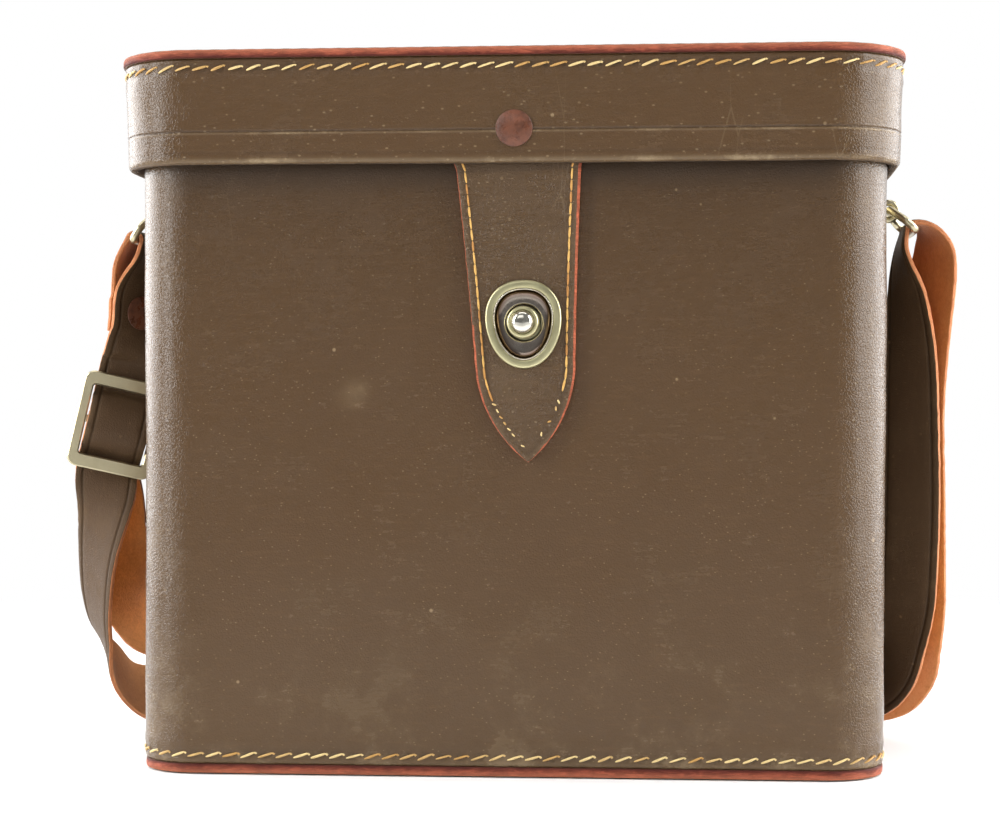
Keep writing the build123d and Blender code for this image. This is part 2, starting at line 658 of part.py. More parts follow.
def turned(x, y, z, degrees):
    """A station whose way across is level and turned by that much from straight back towards +X."""
    return (Vector(x, y, z), Vector(sin(radians(degrees)), cos(radians(degrees)), 0), STRAP_THICK)


def beside(side, out, y, drop, degrees):
    """A level station at one side, that far out from the wall and below the lugs."""
    return turned(side * (HALF_W + out), y, LUG_HEIGHT - drop, degrees)


def hanging(side, out, y, share, degrees):
    """A level station at one side, at a share of the slide's height."""
    return turned(side * (HALF_W + out), y, SLIDE_HEIGHT * share, degrees)


def sweeping(side, out, y, share, wide):
    """A station at one side with any way across, at a share of the slide's height."""
    return (Vector(side * (HALF_W + out), y, SLIDE_HEIGHT * share), Vector(*wide).normalized(), STRAP_THICK)


def rounding(side, out, back, z, wide):
    """A station by a back corner, measured from the side wall and the back wall."""
    return (Vector(side * (HALF_W + out), HALF_D + back, z), Vector(*wide).normalized(), STRAP_THICK)


def behind(share, back, z, wide):
    """A station behind the case, at a share of its half width, measured from the back wall."""
    return (Vector(HALF_W * share, HALF_D + back, z), Vector(*wide).normalized(), STRAP_THICK)


def round_ring(side, start, stop, count):
    """Stations round a ring's outer bar, by angle from straight outwards towards the top."""
    bar_x, bar_z = ring_bar(side)
    reach = RING_WIRE + STRAP_CLEAR + STRAP_THICK / 2
    made = []
    for step in range(count):
        angle = radians(start + (stop - start) * step / (count - 1))
        made.append(turned(bar_x + side * reach * cos(angle), 0, bar_z + reach * sin(angle), 90 + 90 * side))
    return made


left_turn = [
    beside(-1, 11.45, 1.7, 33.8, 42),
    beside(-1, 11.1, 1.4, 28.5, 40),
    beside(-1, 11.3, 1.6, 23.4, 37),
    beside(-1, 12.6, 1.2, 18.4, 20),
    beside(-1, 12.6, 0.4, 13.4, 11),
]
left_ring = round_ring(-1, 20, 180, 6)
left_arm = [
    beside(-1, 7.2, 0.0, 13.4, 8),
    beside(-1, 8.4, 0.0, 19.0, 27),
    beside(-1, 9.2, 0.0, 23.4, 38),
    beside(-1, 9.5, 0.0, 28.5, 40),
    beside(-1, 9.9, 0.0, 33.8, 42),
    beside(-1, 10.7, -0.3, 39.5, 60),
]
through_slide = [on_slide(*place) for place in (
    (19.0, -2.4), (14.3, -2.25), (10.6, -2.25), (8.8, -2.0), (6.5, 0.5), (4.4, 2.8), (1.9, 3.8),
    (-1.9, 3.8), (-4.4, 2.8), (-6.5, 0.5), (-8.8, -2.0), (-10.6, -2.25), (-14.3, -2.25),
)]
left_outer = [
    beside(-1, 19.5, 0.1, 81.0, 90),
    hanging(-1, 20.6, 1.2, 0.723, 111),
    hanging(-1, 22.7, 3.0, 0.603, 128),
    hanging(-1, 23.8, 5.5, 0.464, 139),
    hanging(-1, 23.4, 9.5, 0.346, 152),
    sweeping(-1, 21.0, 16.0, 0.239, (0.12, -0.9, -0.38)),
    sweeping(-1, 17.0, 27.0, 0.147, (0.2, -0.62, -0.75)),
    rounding(-1, 10.0, -4.0, 10.6, (0.18, -0.26, -0.95)),
    behind(-0.961, 8.5, 10.3, (0.05, -0.06, -1.0)),
    behind(-0.728, 15.0, 10.2, (0.0, -0.04, -1.0)),
]
back_outer = [
    behind(-0.437, 17.5, 10.2, (0.0, -0.04, -1.0)),
    behind(-0.097, 19.5, 10.2, (0.0, -0.04, -1.0)),
    behind(0.291, 19.0, 10.2, (0.0, -0.04, -1.0)),
    behind(0.631, 17.8, 10.3, (0.0, -0.04, -1.0)),
    behind(0.825, 15.2, 10.4, (0.02, -0.08, -0.99)),
]
right_outer = [
    rounding(1, -2.0, 9.5, 11.2, (0.1, -0.22, -0.97)),
    rounding(1, 9.5, -2.5, 15.0, (0.35, -0.38, -0.86)),
    sweeping(1, 13.8, 29.5, 0.246, (0.6, -0.5, -0.62)),
    sweeping(1, 13.8, 18.0, 0.356, (0.7, -0.6, -0.38)),
    hanging(1, 13.0, 10.0, 0.482, 124),
    hanging(1, 12.4, 5.5, 0.629, 121),
    hanging(1, 12.1, 3.2, 0.797, 121),
    hanging(1, 12.0, 2.4, 1.027, 125),
    beside(1, 13.5, 2.6, 42.0, 130),
    beside(1, 15.2, 2.3, 30.0, 135),
    beside(1, 16.7, 1.5, 19.0, 140),
    beside(1, 17.1, 0.8, 11.5, 149),
    beside(1, 15.6, 0.2, 6.6, 163),
    beside(1, 13.2, 0.0, 4.1, 176),
]
right_ring = round_ring(1, 92, 185, 4)
right_inner = [
    beside(1, 7.5, 0.0, 11.4, 175),
    beside(1, 7.9, 0.0, 17.1, 164),
    beside(1, 8.9, 0.0, 23.0, 152),
    beside(1, 9.6, 0.0, 31.0, 142),
    beside(1, 10.1, 0.0, 41.3, 132),
    hanging(1, 10.2, 0.0, 1.09, 126),
    hanging(1, 10.2, 0.0, 0.943, 122),
    hanging(1, 10.1, 0.2, 0.765, 118),
    hanging(1, 9.8, 2.0, 0.618, 117),
    hanging(1, 9.4, 6.0, 0.477, 118),
    sweeping(1, 8.3, 13.0, 0.356, (0.78, -0.4, -0.48)),
    sweeping(1, 7.3, 24.0, 0.246, (0.6, -0.38, -0.7)),
    sweeping(1, 3.2, 37.0, 0.166, (0.35, -0.3, -0.89)),
    behind(0.942, 1.5, 12.0, (0.15, -0.18, -0.97)),
    behind(0.777, 5.0, 10.8, (0.0, -0.05, -1.0)),
]
back_inner = [
    behind(0.485, 5.6, 11.6, (0.0, 0.06, -1.0)),
    behind(0.194, 6.6, 16.0, (0.0, 0.36, -0.93)),
    behind(-0.146, 8.8, 22.0, (0.0, 0.78, -0.62)),
    behind(-0.466, 10.6, 24.6, (0.0, 0.96, -0.28)),
    behind(-0.728, 12.0, 24.0, (0.04, 0.99, -0.1)),
    behind(-0.942, 12.4, 24.4, (0.1, 0.99, 0.06)),
]
left_inner = [
    rounding(-1, 8.5, 9.0, 27.0, (0.16, 0.97, 0.16)),
    rounding(-1, 16.8, -1.6, 31.5, (0.38, 0.88, 0.28)),
    sweeping(-1, 19.6, 33.5, 0.404, (0.54, 0.8, 0.25)),
    sweeping(-1, 20.4, 25.0, 0.482, (0.72, 0.66, 0.18)),
    sweeping(-1, 20.3, 18.0, 0.587, (0.9, 0.4, 0.08)),
    hanging(-1, 19.8, 12.6, 0.681, 87),
    beside(-1, 19.9, 9.9, 84.5, 82),
    beside(-1, 20.2, 6.9, 79.0, 78),
]
under_slide = [
    on_slide(-13.6, -5.5),
    on_slide(-10.0, -4.9, 1.7),
    on_slide(-6.2, -3.6, 1.4),
    on_slide(-3.4, -1.9, SKIVED),
]
BAR_TURN = sqrt(SLIDE_MID_BAR**2 + SLIDE_MID_THICK**2) / 2 + SKIVED / 2
round_bar = []
for step in range(9):
    angle = radians(-25 + step * 30)
    round_bar.append(on_slide(-BAR_TURN * cos(angle), BAR_TURN * sin(angle), SKIVED))
round_bar += [on_slide(-1.2, -3.2, SKIVED), on_slide(-4.6, -4.4, SKIVED), on_slide(-9.2, -7.0, SKIVED)]


def end_station(station, following):
    """A station of the turned-back end, which lies behind the strap at that place."""
    place, way, thick = station
    along = (following[0] - place).normalized()
    behind = way.cross(along).normalized() * ((thick + SKIVED) / 2 + 2 * STRAP_CLEAR)
    if behind.dot(slide_front) > 0:
        behind = behind * -1
    return (place + behind, way, SKIVED)


# The strap comes up to the slide, turns round its middle bar and lies back behind itself.
arriving = left_inner[-4:] + under_slide[:2]
turned_back = [end_station(arriving[k], arriving[k + 1]) for k in range(1, 5)]

stations = (
    left_turn
    + left_ring
    + left_arm
    + through_slide
    + left_outer
    + back_outer
    + right_outer
    + right_ring
    + right_inner
    + back_inner
    + left_inner
    + under_slide
    + round_bar
    + turned_back[::-1]
)


def between(a, b, c, d, t):
    """A smooth value between b and c, with a and d as the neighbours."""
    return (b * 2 + (c - a) * t + (a * 2 - b * 5 + c * 4 - d) * t**2 + (b * 3 - a - c * 3 + d) * t**3) * 0.5


def smooth(points, steps):
    """The stations with more of them put between, on a smooth curve."""
    made = []
    for k in range(len(points) - 1):
        a = points[max(k - 1, 0)]
        b = points[k]
        c = points[k + 1]
        d = points[min(k + 2, len(points) - 1)]
        gap = (c[0] - b[0]).length
        count = 1 + int(gap > 3.5) * (steps - 1) + int(gap > 16.0)
        for step in range(count):
            t = step / count
            made.append(tuple(between(a[n], b[n], c[n], d[n], t) for n in range(3)))
    made.append(points[-1])
    return made


line = smooth(stations, 2)


def face_plane(before, station, after, side):
    """The plane on one face of the strap at a station, looking out of that face."""
    place, way, thick = station
    out = way.cross(after[0] - before[0]).normalized() * side
    return Plane(origin=place + out * (thick / 2), x_dir=way, z_dir=out)


# The strap's rivet passes through the fourth station of the left arm.
strap_rivet_seat = face_plane(left_arm[2], left_arm[3], left_arm[4], -1)
STRAP_RIVET_GRIP = 2 * STRAP_THICK + 0.2
end_rivet_seat = face_plane(arriving[2], arriving[3], arriving[4], 1)
END_RIVET_GRIP = STRAP_THICK + SKIVED + 0.4

with BuildPart() as strap:
    for k, (place, way, thick) in enumerate(line):
        ahead = line[min(k + 1, len(line) - 1)][0] - line[max(k - 1, 0)][0]
        with BuildSketch(Plane(origin=place, x_dir=way - ahead * (way.dot(ahead) / ahead.dot(ahead)), z_dir=ahead)):
            Rectangle(STRAP_WIDE, thick)
    loft(ruled=True)
    for seat, grip in ((strap_rivet_seat, STRAP_RIVET_GRIP), (end_rivet_seat, END_RIVET_GRIP)):
        with BuildSketch(seat.offset(0.5)):
            Circle(STRAP_RIVET_SHANK / 2 + SEAT)
        extrude(amount=-(grip + 1), mode=Mode.SUBTRACT)
finish(strap, "strap")

for name, seat, grip, head, rise in (
    ("strap_rivet", strap_rivet_seat, STRAP_RIVET_GRIP, STRAP_RIVET_HEAD, STRAP_RIVET_DOME),
    ("strap_end_rivet", end_rivet_seat, END_RIVET_GRIP, END_RIVET_HEAD, END_RIVET_DOME),
):
    with BuildPart() as rivet:
        with BuildSketch(section_plane(seat.offset(RIVET_STAND))):
            dome_outline(head / 2, rise)
        revolve(axis=Axis(seat.origin, seat.z_dir))
        with BuildSketch(seat.offset(RIVET_STAND)):
            Circle(STRAP_RIVET_SHANK / 2)
        extrude(amount=-(grip + 2 * RIVET_STAND))
        with BuildSketch(seat.offset(-(grip + RIVET_STAND))):
            Circle(head / 2 - 1)
        extrude(amount=-BURR_THICK)
    finish(rivet, name)
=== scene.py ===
"""Hard leather binocular case with a hinged lid, a closing tab with a push stud and a doubled shoulder strap.

The shapes are drawn in millimetres and scaled to the frame's metres as they become meshes.
+Z is up, +X is to the right of the front, and the front faces -Y.
"""

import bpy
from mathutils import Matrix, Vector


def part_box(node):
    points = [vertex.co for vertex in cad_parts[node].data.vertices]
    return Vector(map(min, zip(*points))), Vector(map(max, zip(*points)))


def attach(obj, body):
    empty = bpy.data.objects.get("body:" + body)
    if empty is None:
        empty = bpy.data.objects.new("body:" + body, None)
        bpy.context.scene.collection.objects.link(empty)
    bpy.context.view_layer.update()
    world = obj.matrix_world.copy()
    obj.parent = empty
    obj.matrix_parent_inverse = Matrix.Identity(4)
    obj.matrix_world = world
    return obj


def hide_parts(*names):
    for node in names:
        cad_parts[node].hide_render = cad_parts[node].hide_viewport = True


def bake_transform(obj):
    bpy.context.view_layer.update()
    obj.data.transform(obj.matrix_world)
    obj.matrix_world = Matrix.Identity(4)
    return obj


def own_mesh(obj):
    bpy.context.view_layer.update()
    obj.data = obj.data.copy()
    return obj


bl_info = {
    "name": "Hard binocular case",
    "version": (1, 0, 0),
    "blender": (4, 5, 0),
    "location": "3D View > Sidebar > Case",
    "description": "Leather, thread and metal for a hard binocular case, built around its CAD frame",
    "category": "Object",
}

from math import ceil, cos, exp, hypot, pi, radians, sin, sqrt

import bpy
import numpy as np
from bpy.props import FloatProperty, FloatVectorProperty, PointerProperty
from mathutils import Matrix, Vector, noise

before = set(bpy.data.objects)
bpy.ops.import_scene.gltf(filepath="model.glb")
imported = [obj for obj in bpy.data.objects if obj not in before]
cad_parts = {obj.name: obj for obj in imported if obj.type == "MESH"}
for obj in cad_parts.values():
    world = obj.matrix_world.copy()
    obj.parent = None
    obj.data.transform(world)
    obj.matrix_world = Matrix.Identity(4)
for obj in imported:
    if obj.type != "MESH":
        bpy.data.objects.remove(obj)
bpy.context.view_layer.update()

MM = 0.001

# Sizes that the pieces share with the solids, in millimetres.
HALF_W = 103.0
HALF_D = 45.0
CORNER = 17.0
WALL = 3.0
BASE_THICK = 2.6
WALL_TOP = 184.0
LID_EDGE = 166.5
LID_GAP = 2.2
SKIRT = 2.4
SKIRT_FLARE = 1.0
PANEL_BOTTOM = 195.4
PANEL_ROW = 4.0
BASE_GROW = -0.3
LID_GROW = 6.0
CASE_HEIGHT = 198.0
FRONT = -HALF_D


# ------------------------------------------------------------------ what a user may change
def linear(red, green, blue):
    """A colour written as on screen, 0 to 255, in the linear values that shaders use."""

    def channel(value):
        value /= 255
        return value / 12.92 if value <= 0.04045 else ((value + 0.055) / 1.055) ** 2.4

    return (channel(red), channel(green), channel(blue))


def colour(name, description, default):
    """A colour setting from screen values."""
    return FloatVectorProperty(
        name=name, description=description, default=linear(*default), subtype="COLOR", size=3, min=0, max=1
    )


def length(name, description, default):
    """A length setting from millimetres."""
    return FloatProperty(
        name=name, description=description, default=default * MM, subtype="DISTANCE", unit="LENGTH", min=0, precision=5
    )


class CaseSewing(bpy.types.PropertyGroup):
    pitch: length("Panel stitch pitch", "Distance between the slanted stitches of the end panels", 4.95)
    stitch: length("Panel stitch length", "Length of one slanted stitch", 4.5)
    slant: FloatProperty(
        name="Slant", description="Rise of each panel stitch", default=radians(19), subtype="ANGLE", unit="ROTATION"
    )
    thread: length("Thread", "Thickness of the waxed thread", 0.7)
    row: length("Row", "Distance of the stitches from the edge of the end panels", 5.2)
    tab_pitch: length("Tab stitch pitch", "Distance between the stitches along the tab", 3.1)
    tab_row: length("Tab row", "Distance of the tab's stitches from its edge", 2.4)


class CaseTooling(bpy.types.PropertyGroup):
    crease_rise: length("Lid crease", "Height of the tooled line above the lid's lower edge", 9.0)
    crease_width: length("Crease width", "Width of the tooled lines", 0.5)
    crease_depth: length("Crease depth", "Depth of the tooled lines", 0.24)
    strap_crease: length("Strap crease", "Distance of the strap's tooled lines from its edges", 2.1)
    grain: length("Grain", "Size of the pebbles in the leather's grain", 0.85)


class CaseLeather(bpy.types.PropertyGroup):
    brown: colour("Brown", "Grain side of the case and lid", (79, 58, 36))
    # The deep brown is painted shade: creases, grain furrows, needle holes, stitch rows and the band below the lid's
    # edge are darkened towards it.
    deep: colour("Deep brown", "Creases and sheltered places of the grain side", (50, 36, 22))
    # The worn colour is laid on rubbed places, pale pores, scratches and specks, and also on painted highlights along
    # the lid's lower edge and just under its crease, and on painted bounce light low on the wall.
    worn: colour("Worn", "Rubbed places of the grain side", (150, 130, 100))
    strap: colour("Strap", "Grain side of the strap", (79, 60, 42))
    cut: colour("Cut edge", "Raw edge of the leather", (166, 78, 50))
    suede: colour("Suede", "Flesh side of the strap", (216, 133, 58))
    suede_pale: colour("Pale suede", "Rubbed flesh side", (222, 160, 104))
    suede_dark: colour("Dark suede", "Oiled flesh side", (118, 56, 16))
    felt: colour("Felt", "Lining and pad", (112, 26, 34))
    board: colour("Board", "Stiffening board", (132, 112, 84))


class CaseTrim(bpy.types.PropertyGroup):
    thread: colour("Thread", "Waxed thread", (222, 196, 138))
    thread_old: colour("Old thread", "Waxed thread where it has darkened", (186, 142, 78))
    nickel: colour("Nickel", "Satin nickel of the latch plate", (196, 190, 150))
    slide: colour("Slide", "Plated metal of the slide and rings", (200, 190, 158))
    lacquer: colour("Lacquer", "Brown lacquer on the rivets' heads", (106, 62, 42))


# ------------------------------------------------------------------ meshes
def place_mesh(name, points, faces, materials, parts=None, uv=None, fields=None, smooth=True):
    """A mesh object from millimetre points. parts are material numbers by face, uv is (u, v) in metres by point."""
    mesh = bpy.data.meshes.new(name)
    mesh.from_pydata([(p[0] * MM, p[1] * MM, p[2] * MM) for p in points], [], faces)
    for material in materials:
        mesh.materials.append(material)
    if parts is not None:
        mesh.polygons.foreach_set("material_index", parts)
    if uv is not None:
        layer = mesh.uv_layers.new(name="Surface")
        corners = np.empty(len(mesh.loops), dtype=np.int32)
        mesh.loops.foreach_get("vertex_index", corners)
        layer.data.foreach_set("uv", np.asarray(uv, dtype=np.float32)[corners].ravel())
    for field, values in (fields or {}).items():
        attribute = mesh.attributes.new(field, "FLOAT", "POINT")
        attribute.data.foreach_set("value", np.asarray(values, dtype=np.float32))
    if smooth:
        mesh.polygons.foreach_set("use_smooth", [True] * len(mesh.polygons))
    mesh.validate()
    mesh.update()
    made = bpy.data.objects.new(name, mesh)
    bpy.context.scene.collection.objects.link(made)
    return made


def grid_faces(rows, columns, wrap_rows=False, wrap_columns=True):
    """Quads of a grid whose rows climb and whose columns run anticlockwise, so that they face outwards."""
    faces = []
    for row in range(rows if wrap_rows else rows - 1):
        above = (row + 1) % rows
        for column in range(columns if wrap_columns else columns - 1):
            beside = (column + 1) % columns
            low, high = row * columns, above * columns
            faces.append((low + column, low + beside, high + beside, high + column))
    return faces


class Skin:
    """The points of a piece, each with its place on the surface in millimetres, its wear and its painted shade."""

    def __init__(self):
        self.points, self.surface, self.wear, self.painted_shade = [], [], [], []

    def add(self, point, across, along, wear, painted_shade):
        self.points.append(point)
        self.surface.append((across * MM, along * MM))
        self.wear.append(wear)
        self.painted_shade.append(painted_shade)

    def piece(self, name, faces, materials, parts=None, mapped=True):
        fields = {"wear": self.wear, "painted_shade": self.painted_shade}
        return place_mesh(name, self.points, faces, materials, parts, self.surface if mapped else None, fields)


def strip_faces(rows, count, part_of, clockwise=False):
    """Faces of a strip of closed sections with flat cut ends, and their materials by part_of(column, row).

    clockwise says that the columns run clockwise as the rows climb, so that the faces are turned to point outwards.
    """
    faces, parts = [], []
    for face in grid_faces(rows, count):
        a, b = face[0] % count, face[1] % count
        parts.append(part_of(min(a, b) if abs(a - b) == 1 else count - 1, min(face) // count))
        faces.append(tuple(reversed(face)) if clockwise else face)
    for start, forward in ((0, clockwise), ((rows - 1) * count, not clockwise)):
        ring = tuple(range(start, start + count))
        faces.append(ring if forward else tuple(reversed(ring)))
        parts.append(1)
    return faces, parts


def disc_faces(skin, rings, count, wear, downwards):
    """Faces of a stack of rings closed by a fan at each end, and the materials of the fans alone."""
    faces, fan_parts = grid_faces(rings, count), []
    for start, forward in ((0, False), ((rings - 1) * count, True)):
        centre = len(skin.points)
        ring = skin.points[start : start + count]
        skin.add(tuple(sum(p[i] for p in ring) / count for i in range(3)), 0, 0, wear, 0.0)
        for k in range(count):
            a, b = start + k, start + (k + 1) % count
            faces.append((a, b, centre) if forward else (b, a, centre))
            fan_parts.append(0 if forward else 2)
    if downwards:
        faces = [tuple(reversed(face)) for face in faces]
    return faces, fan_parts


def plan_ring(grow, corner, step=1.25):
    """(x, y, outward x, outward y, way round) of the case's plan grown by that much.

    It starts at the middle of the back and runs anticlockwise from above, always with the same count of points.
    """
    half_x = HALF_W - CORNER
    half_y = HALF_D - CORNER
    radius = corner + grow
    wide = HALF_W + grow - radius
    deep = HALF_D + grow - radius
    along_x = 2 * max(2, round(half_x / step))
    along_y = 2 * max(2, round(half_y / step))
    along_arc = max(6, round(CORNER * pi / 2 / step))
    points = []

    def straight(x0, y0, x1, y1, nx, ny, count):
        for k in range(count):
            t = k / count
            points.append((x0 + (x1 - x0) * t, y0 + (y1 - y0) * t, nx, ny))

    def arc(cx, cy, start, count):
        for k in range(count):
            angle = start + pi / 2 * k / count
            points.append((cx + radius * cos(angle), cy + radius * sin(angle), cos(angle), sin(angle)))

    straight(0, deep + radius, -wide, deep + radius, 0, 1, along_x // 2)
    arc(-wide, deep, pi / 2, along_arc)
    straight(-wide - radius, deep, -wide - radius, -deep, -1, 0, along_y)
    arc(-wide, -deep, pi, along_arc)
    straight(-wide, -deep - radius, wide, -deep - radius, 0, -1, along_x)
    arc(wide, -deep, 3 * pi / 2, along_arc)
    straight(wide + radius, -deep, wide + radius, deep, 1, 0, along_y)
    arc(wide, deep, 0, along_arc)
    straight(wide, deep + radius, 0, deep + radius, 0, 1, along_x // 2)
    return points


def ring_lengths(ring):
    """The way round to each point of a closed ring, and the whole way."""
    way = [0.0]
    for k in range(len(ring)):
        a, b = ring[k], ring[(k + 1) % len(ring)]
        way.append(way[-1] + hypot(b[0] - a[0], b[1] - a[1]))
    return way[:-1], way[-1]


def cornerness(nx, ny):
    """1 in the middle of a corner, 0 on the flats."""
    return 4 * nx * nx * ny * ny


def dented(x, y, z, amount, size=34.0, seed=0.0):
    """A slow unevenness of hand-blocked leather, in millimetres."""
    at = Vector((x / size + seed, y / size - seed, z / size + 2 * seed))
    return amount * (noise.noise(at) + 0.45 * noise.noise(at * 2.3))


def pucker(way, height, pitch, deep=0.34):
    """How far the stitches of a slanted row draw the leather in, at that way along and height over the row."""
    phase = way / pitch - height * 0.07
    hole = 0.5 + 0.5 * cos(2 * pi * (phase - 0.5))
    drawn = deep * exp(-((height / 2.1) ** 2)) * (0.35 + 0.65 * hole)
    raised = 0.16 * exp(-(((abs(height) - 3.0) / 1.3) ** 2)) * (1 - hole)
    return raised - drawn


def even_pitch(whole, spacing):
    """The pitch nearest to a spacing in metres that goes a whole number of times into that many millimetres."""
    return whole / round(whole / (spacing / MM))


def needle_hole(way, height, pitch):
    """1 where a slanted row's thread enters the leather, 0 away from it."""
    phase = way / pitch - height * 0.07
    return exp(-(((abs(phase - round(phase)) - 0.42) / 0.07) ** 2)) * exp(-((height / 0.9) ** 2))


def groove(height, wide, deep):
    """A pressed line with slightly raised banks."""
    t = height / (wide / 2)
    return -deep * exp(-t * t * 1.2) + deep * 0.28 * exp(-((abs(t) - 2.1) ** 2) * 1.6)


def revolved(name, profile, place, material, body, turns, wear, painted_shade):
    """A turned piece. profile is (radius, height) from the middle of its back to the middle of its face."""
    inner = profile[1:-1]
    points = []
    for radius, height in inner:
        for k in range(turns):
            angle = 2 * pi * k / turns
            points.append(place @ Vector((radius * cos(angle), radius * sin(angle), height)))
    faces = grid_faces(len(inner), turns)
    first, last = len(points), (len(inner) - 1) * turns
    points += [place @ Vector((0, 0, profile[0][1])), place @ Vector((0, 0, profile[-1][1]))]
    for k in range(turns):
        faces.append((first, (k + 1) % turns, k))
        faces.append((first + 1, last + k, last + (k + 1) % turns))
    radii = [radius for radius, _ in inner for _ in range(turns)] + [0, 0]
    fields = {"wear": [wear(radius) for radius in radii], "painted_shade": [painted_shade(radius) for radius in radii]}
    made = place_mesh(name, points, faces, [material], fields=fields)
    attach(made, body)
    return made


def axes(origin, x_way, z_way):
    """A place in millimetres from its origin, X and Z."""
    z = Vector(z_way).normalized()
    x = Vector(x_way)
    x = (x - z * x.dot(z)).normalized()
    y = z.cross(x)
    return Matrix([(x[i], y[i], z[i], origin[i]) for i in range(3)] + [(0, 0, 0, 1)])


# ------------------------------------------------------------------ stitches by Geometry Nodes
def node(tree, kind, inputs=None, **settings):
    """Adds a node, sets it, and links or sets its inputs."""
    made = tree.nodes.new(kind)
    for key, value in settings.items():
        setattr(made, key, value)
    for key, value in (inputs or {}).items():
        socket = made.inputs[key]
        if isinstance(value, bpy.types.NodeSocket):
            tree.links.new(value, socket)
        else:
            socket.default_value = value
    return made


def stitch_tree():
    """Lays slanted, slightly uneven stitches along edges that carry the surface's outward way."""
    found = bpy.data.node_groups.get("Stitch row")
    if found:
        return found
    tree = bpy.data.node_groups.new("Stitch row", "GeometryNodeTree")
    face = tree.interface
    face.new_socket("Path", in_out="INPUT", socket_type="NodeSocketGeometry")
    for name, kind, default in (
        ("Pitch", "NodeSocketFloat", 0.005),
        ("Length", "NodeSocketFloat", 0.004),
        ("Thread", "NodeSocketFloat", 0.001),
        ("Slant", "NodeSocketFloat", 0.3),
        ("Loose", "NodeSocketFloat", 0.08),
        ("Missing", "NodeSocketFloat", 0.0),
        ("Hook", "NodeSocketFloat", 0.0),
        ("Seed", "NodeSocketInt", 1),
    ):
        face.new_socket(name, in_out="INPUT", socket_type=kind).default_value = default
    face.new_socket("Finish", in_out="INPUT", socket_type="NodeSocketMaterial")
    face.new_socket("Stitches", in_out="OUTPUT", socket_type="NodeSocketGeometry")
    given = tree.nodes.new("NodeGroupInput").outputs

    def add(kind, inputs=None, **settings):
        return node(tree, kind, inputs, **settings)

    def maths(operation, a, b=0.0):
        return add("ShaderNodeMath", {0: a, 1: b}, operation=operation).outputs[0]

    def chance(low, high, number):
        picked = add("FunctionNodeRandomValue", data_type="FLOAT")
        picked.inputs[2].default_value = low
        picked.inputs[3].default_value = high
        tree.links.new(maths("ADD", given["Seed"], number), picked.inputs["Seed"])
        return picked.outputs[1]

    curve = add("GeometryNodeMeshToCurve", {"Mesh": given["Path"]}).outputs[0]
    even = add("GeometryNodeResampleCurve", {"Curve": curve, "Length": given["Pitch"]}, mode="LENGTH").outputs[0]
    spots = add("GeometryNodeCurveToPoints", {"Curve": even}, mode="EVALUATED")
    outward = add("GeometryNodeInputNamedAttribute", {"Name": "outward"}, data_type="FLOAT_VECTOR").outputs[0]
    facing = add("FunctionNodeAlignRotationToVector", {"Vector": outward}, axis="Z").outputs[0]
    tangent = add("GeometryNodeInputNamedAttribute", {"Name": "along"}, data_type="FLOAT_VECTOR").outputs[0]
    lying = add(
        "FunctionNodeAlignRotationToVector", {"Rotation": facing, "Vector": tangent}, axis="X", pivot_axis="Z"
    ).outputs[0]
    wobble = maths("MULTIPLY", chance(-1.0, 1.0, 1), given["Loose"])
    turn = add("ShaderNodeCombineXYZ", {2: maths("ADD", given["Slant"], wobble)}).outputs[0]
    turned_rod = {"Rotation": lying, "Rotate By": turn}
    set_at = add("FunctionNodeRotateRotation", turned_rod, rotation_space="LOCAL").outputs[0]

    rod = add("GeometryNodeCurvePrimitiveLine", {"Start": (-0.5, 0.0, 0.0), "End": (0.5, 0.0, 0.0)}).outputs[0]
    rod = add("GeometryNodeResampleCurve", {"Curve": rod, "Count": 7}, mode="COUNT").outputs[0]
    part = add("GeometryNodeSplineParameter").outputs["Factor"]
    bow = maths("SINE", maths("MULTIPLY", part, pi))
    arch = maths("MULTIPLY", maths("POWER", bow, 0.55), 0.135)
    lift = add("ShaderNodeCombineXYZ", {2: maths("SUBTRACT", arch, 0.095)}).outputs[0]
    rod = add("GeometryNodeSetPosition", {"Geometry": rod, "Offset": lift}).outputs[0]
    girth = maths("ADD", maths("MULTIPLY", maths("POWER", bow, 0.7), 0.05), 0.055)
    rod = add("GeometryNodeSetCurveRadius", {"Curve": rod, "Radius": girth}).outputs[0]
    ring = add("GeometryNodeCurvePrimitiveCircle", {"Resolution": 7, "Radius": 1.0}).outputs[0]
    solid = add("GeometryNodeCurveToMesh", {"Curve": rod, "Profile Curve": ring, "Fill Caps": True})
    if "Scale" in solid.inputs:
        radius = add("GeometryNodeInputRadius").outputs[0]
        tree.links.new(radius, solid.inputs["Scale"])

    tail_end = add("ShaderNodeCombineXYZ", {0: 0.54, 1: maths("MULTIPLY", given["Hook"], -1.0), 2: -0.02}).outputs[0]
    tail = add("GeometryNodeCurvePrimitiveLine", {"Start": (0.44, 0.0, 0.0), "End": tail_end}).outputs[0]
    thin = add("GeometryNodeCurvePrimitiveCircle", {"Resolution": 6, "Radius": 0.072}).outputs[0]
    tail = add("GeometryNodeCurveToMesh", {"Curve": tail, "Profile Curve": thin, "Fill Caps": True}).outputs[0]
    wanted = maths("GREATER_THAN", given["Hook"], 0.001)
    tail = add("GeometryNodeSwitch", {"Switch": wanted, "True": tail}, input_type="GEOMETRY").outputs[0]
    both = add("GeometryNodeJoinGeometry").inputs[0]
    tree.links.new(tail, both)
    tree.links.new(solid.outputs[0], both)
    stitch = both.node.outputs[0]

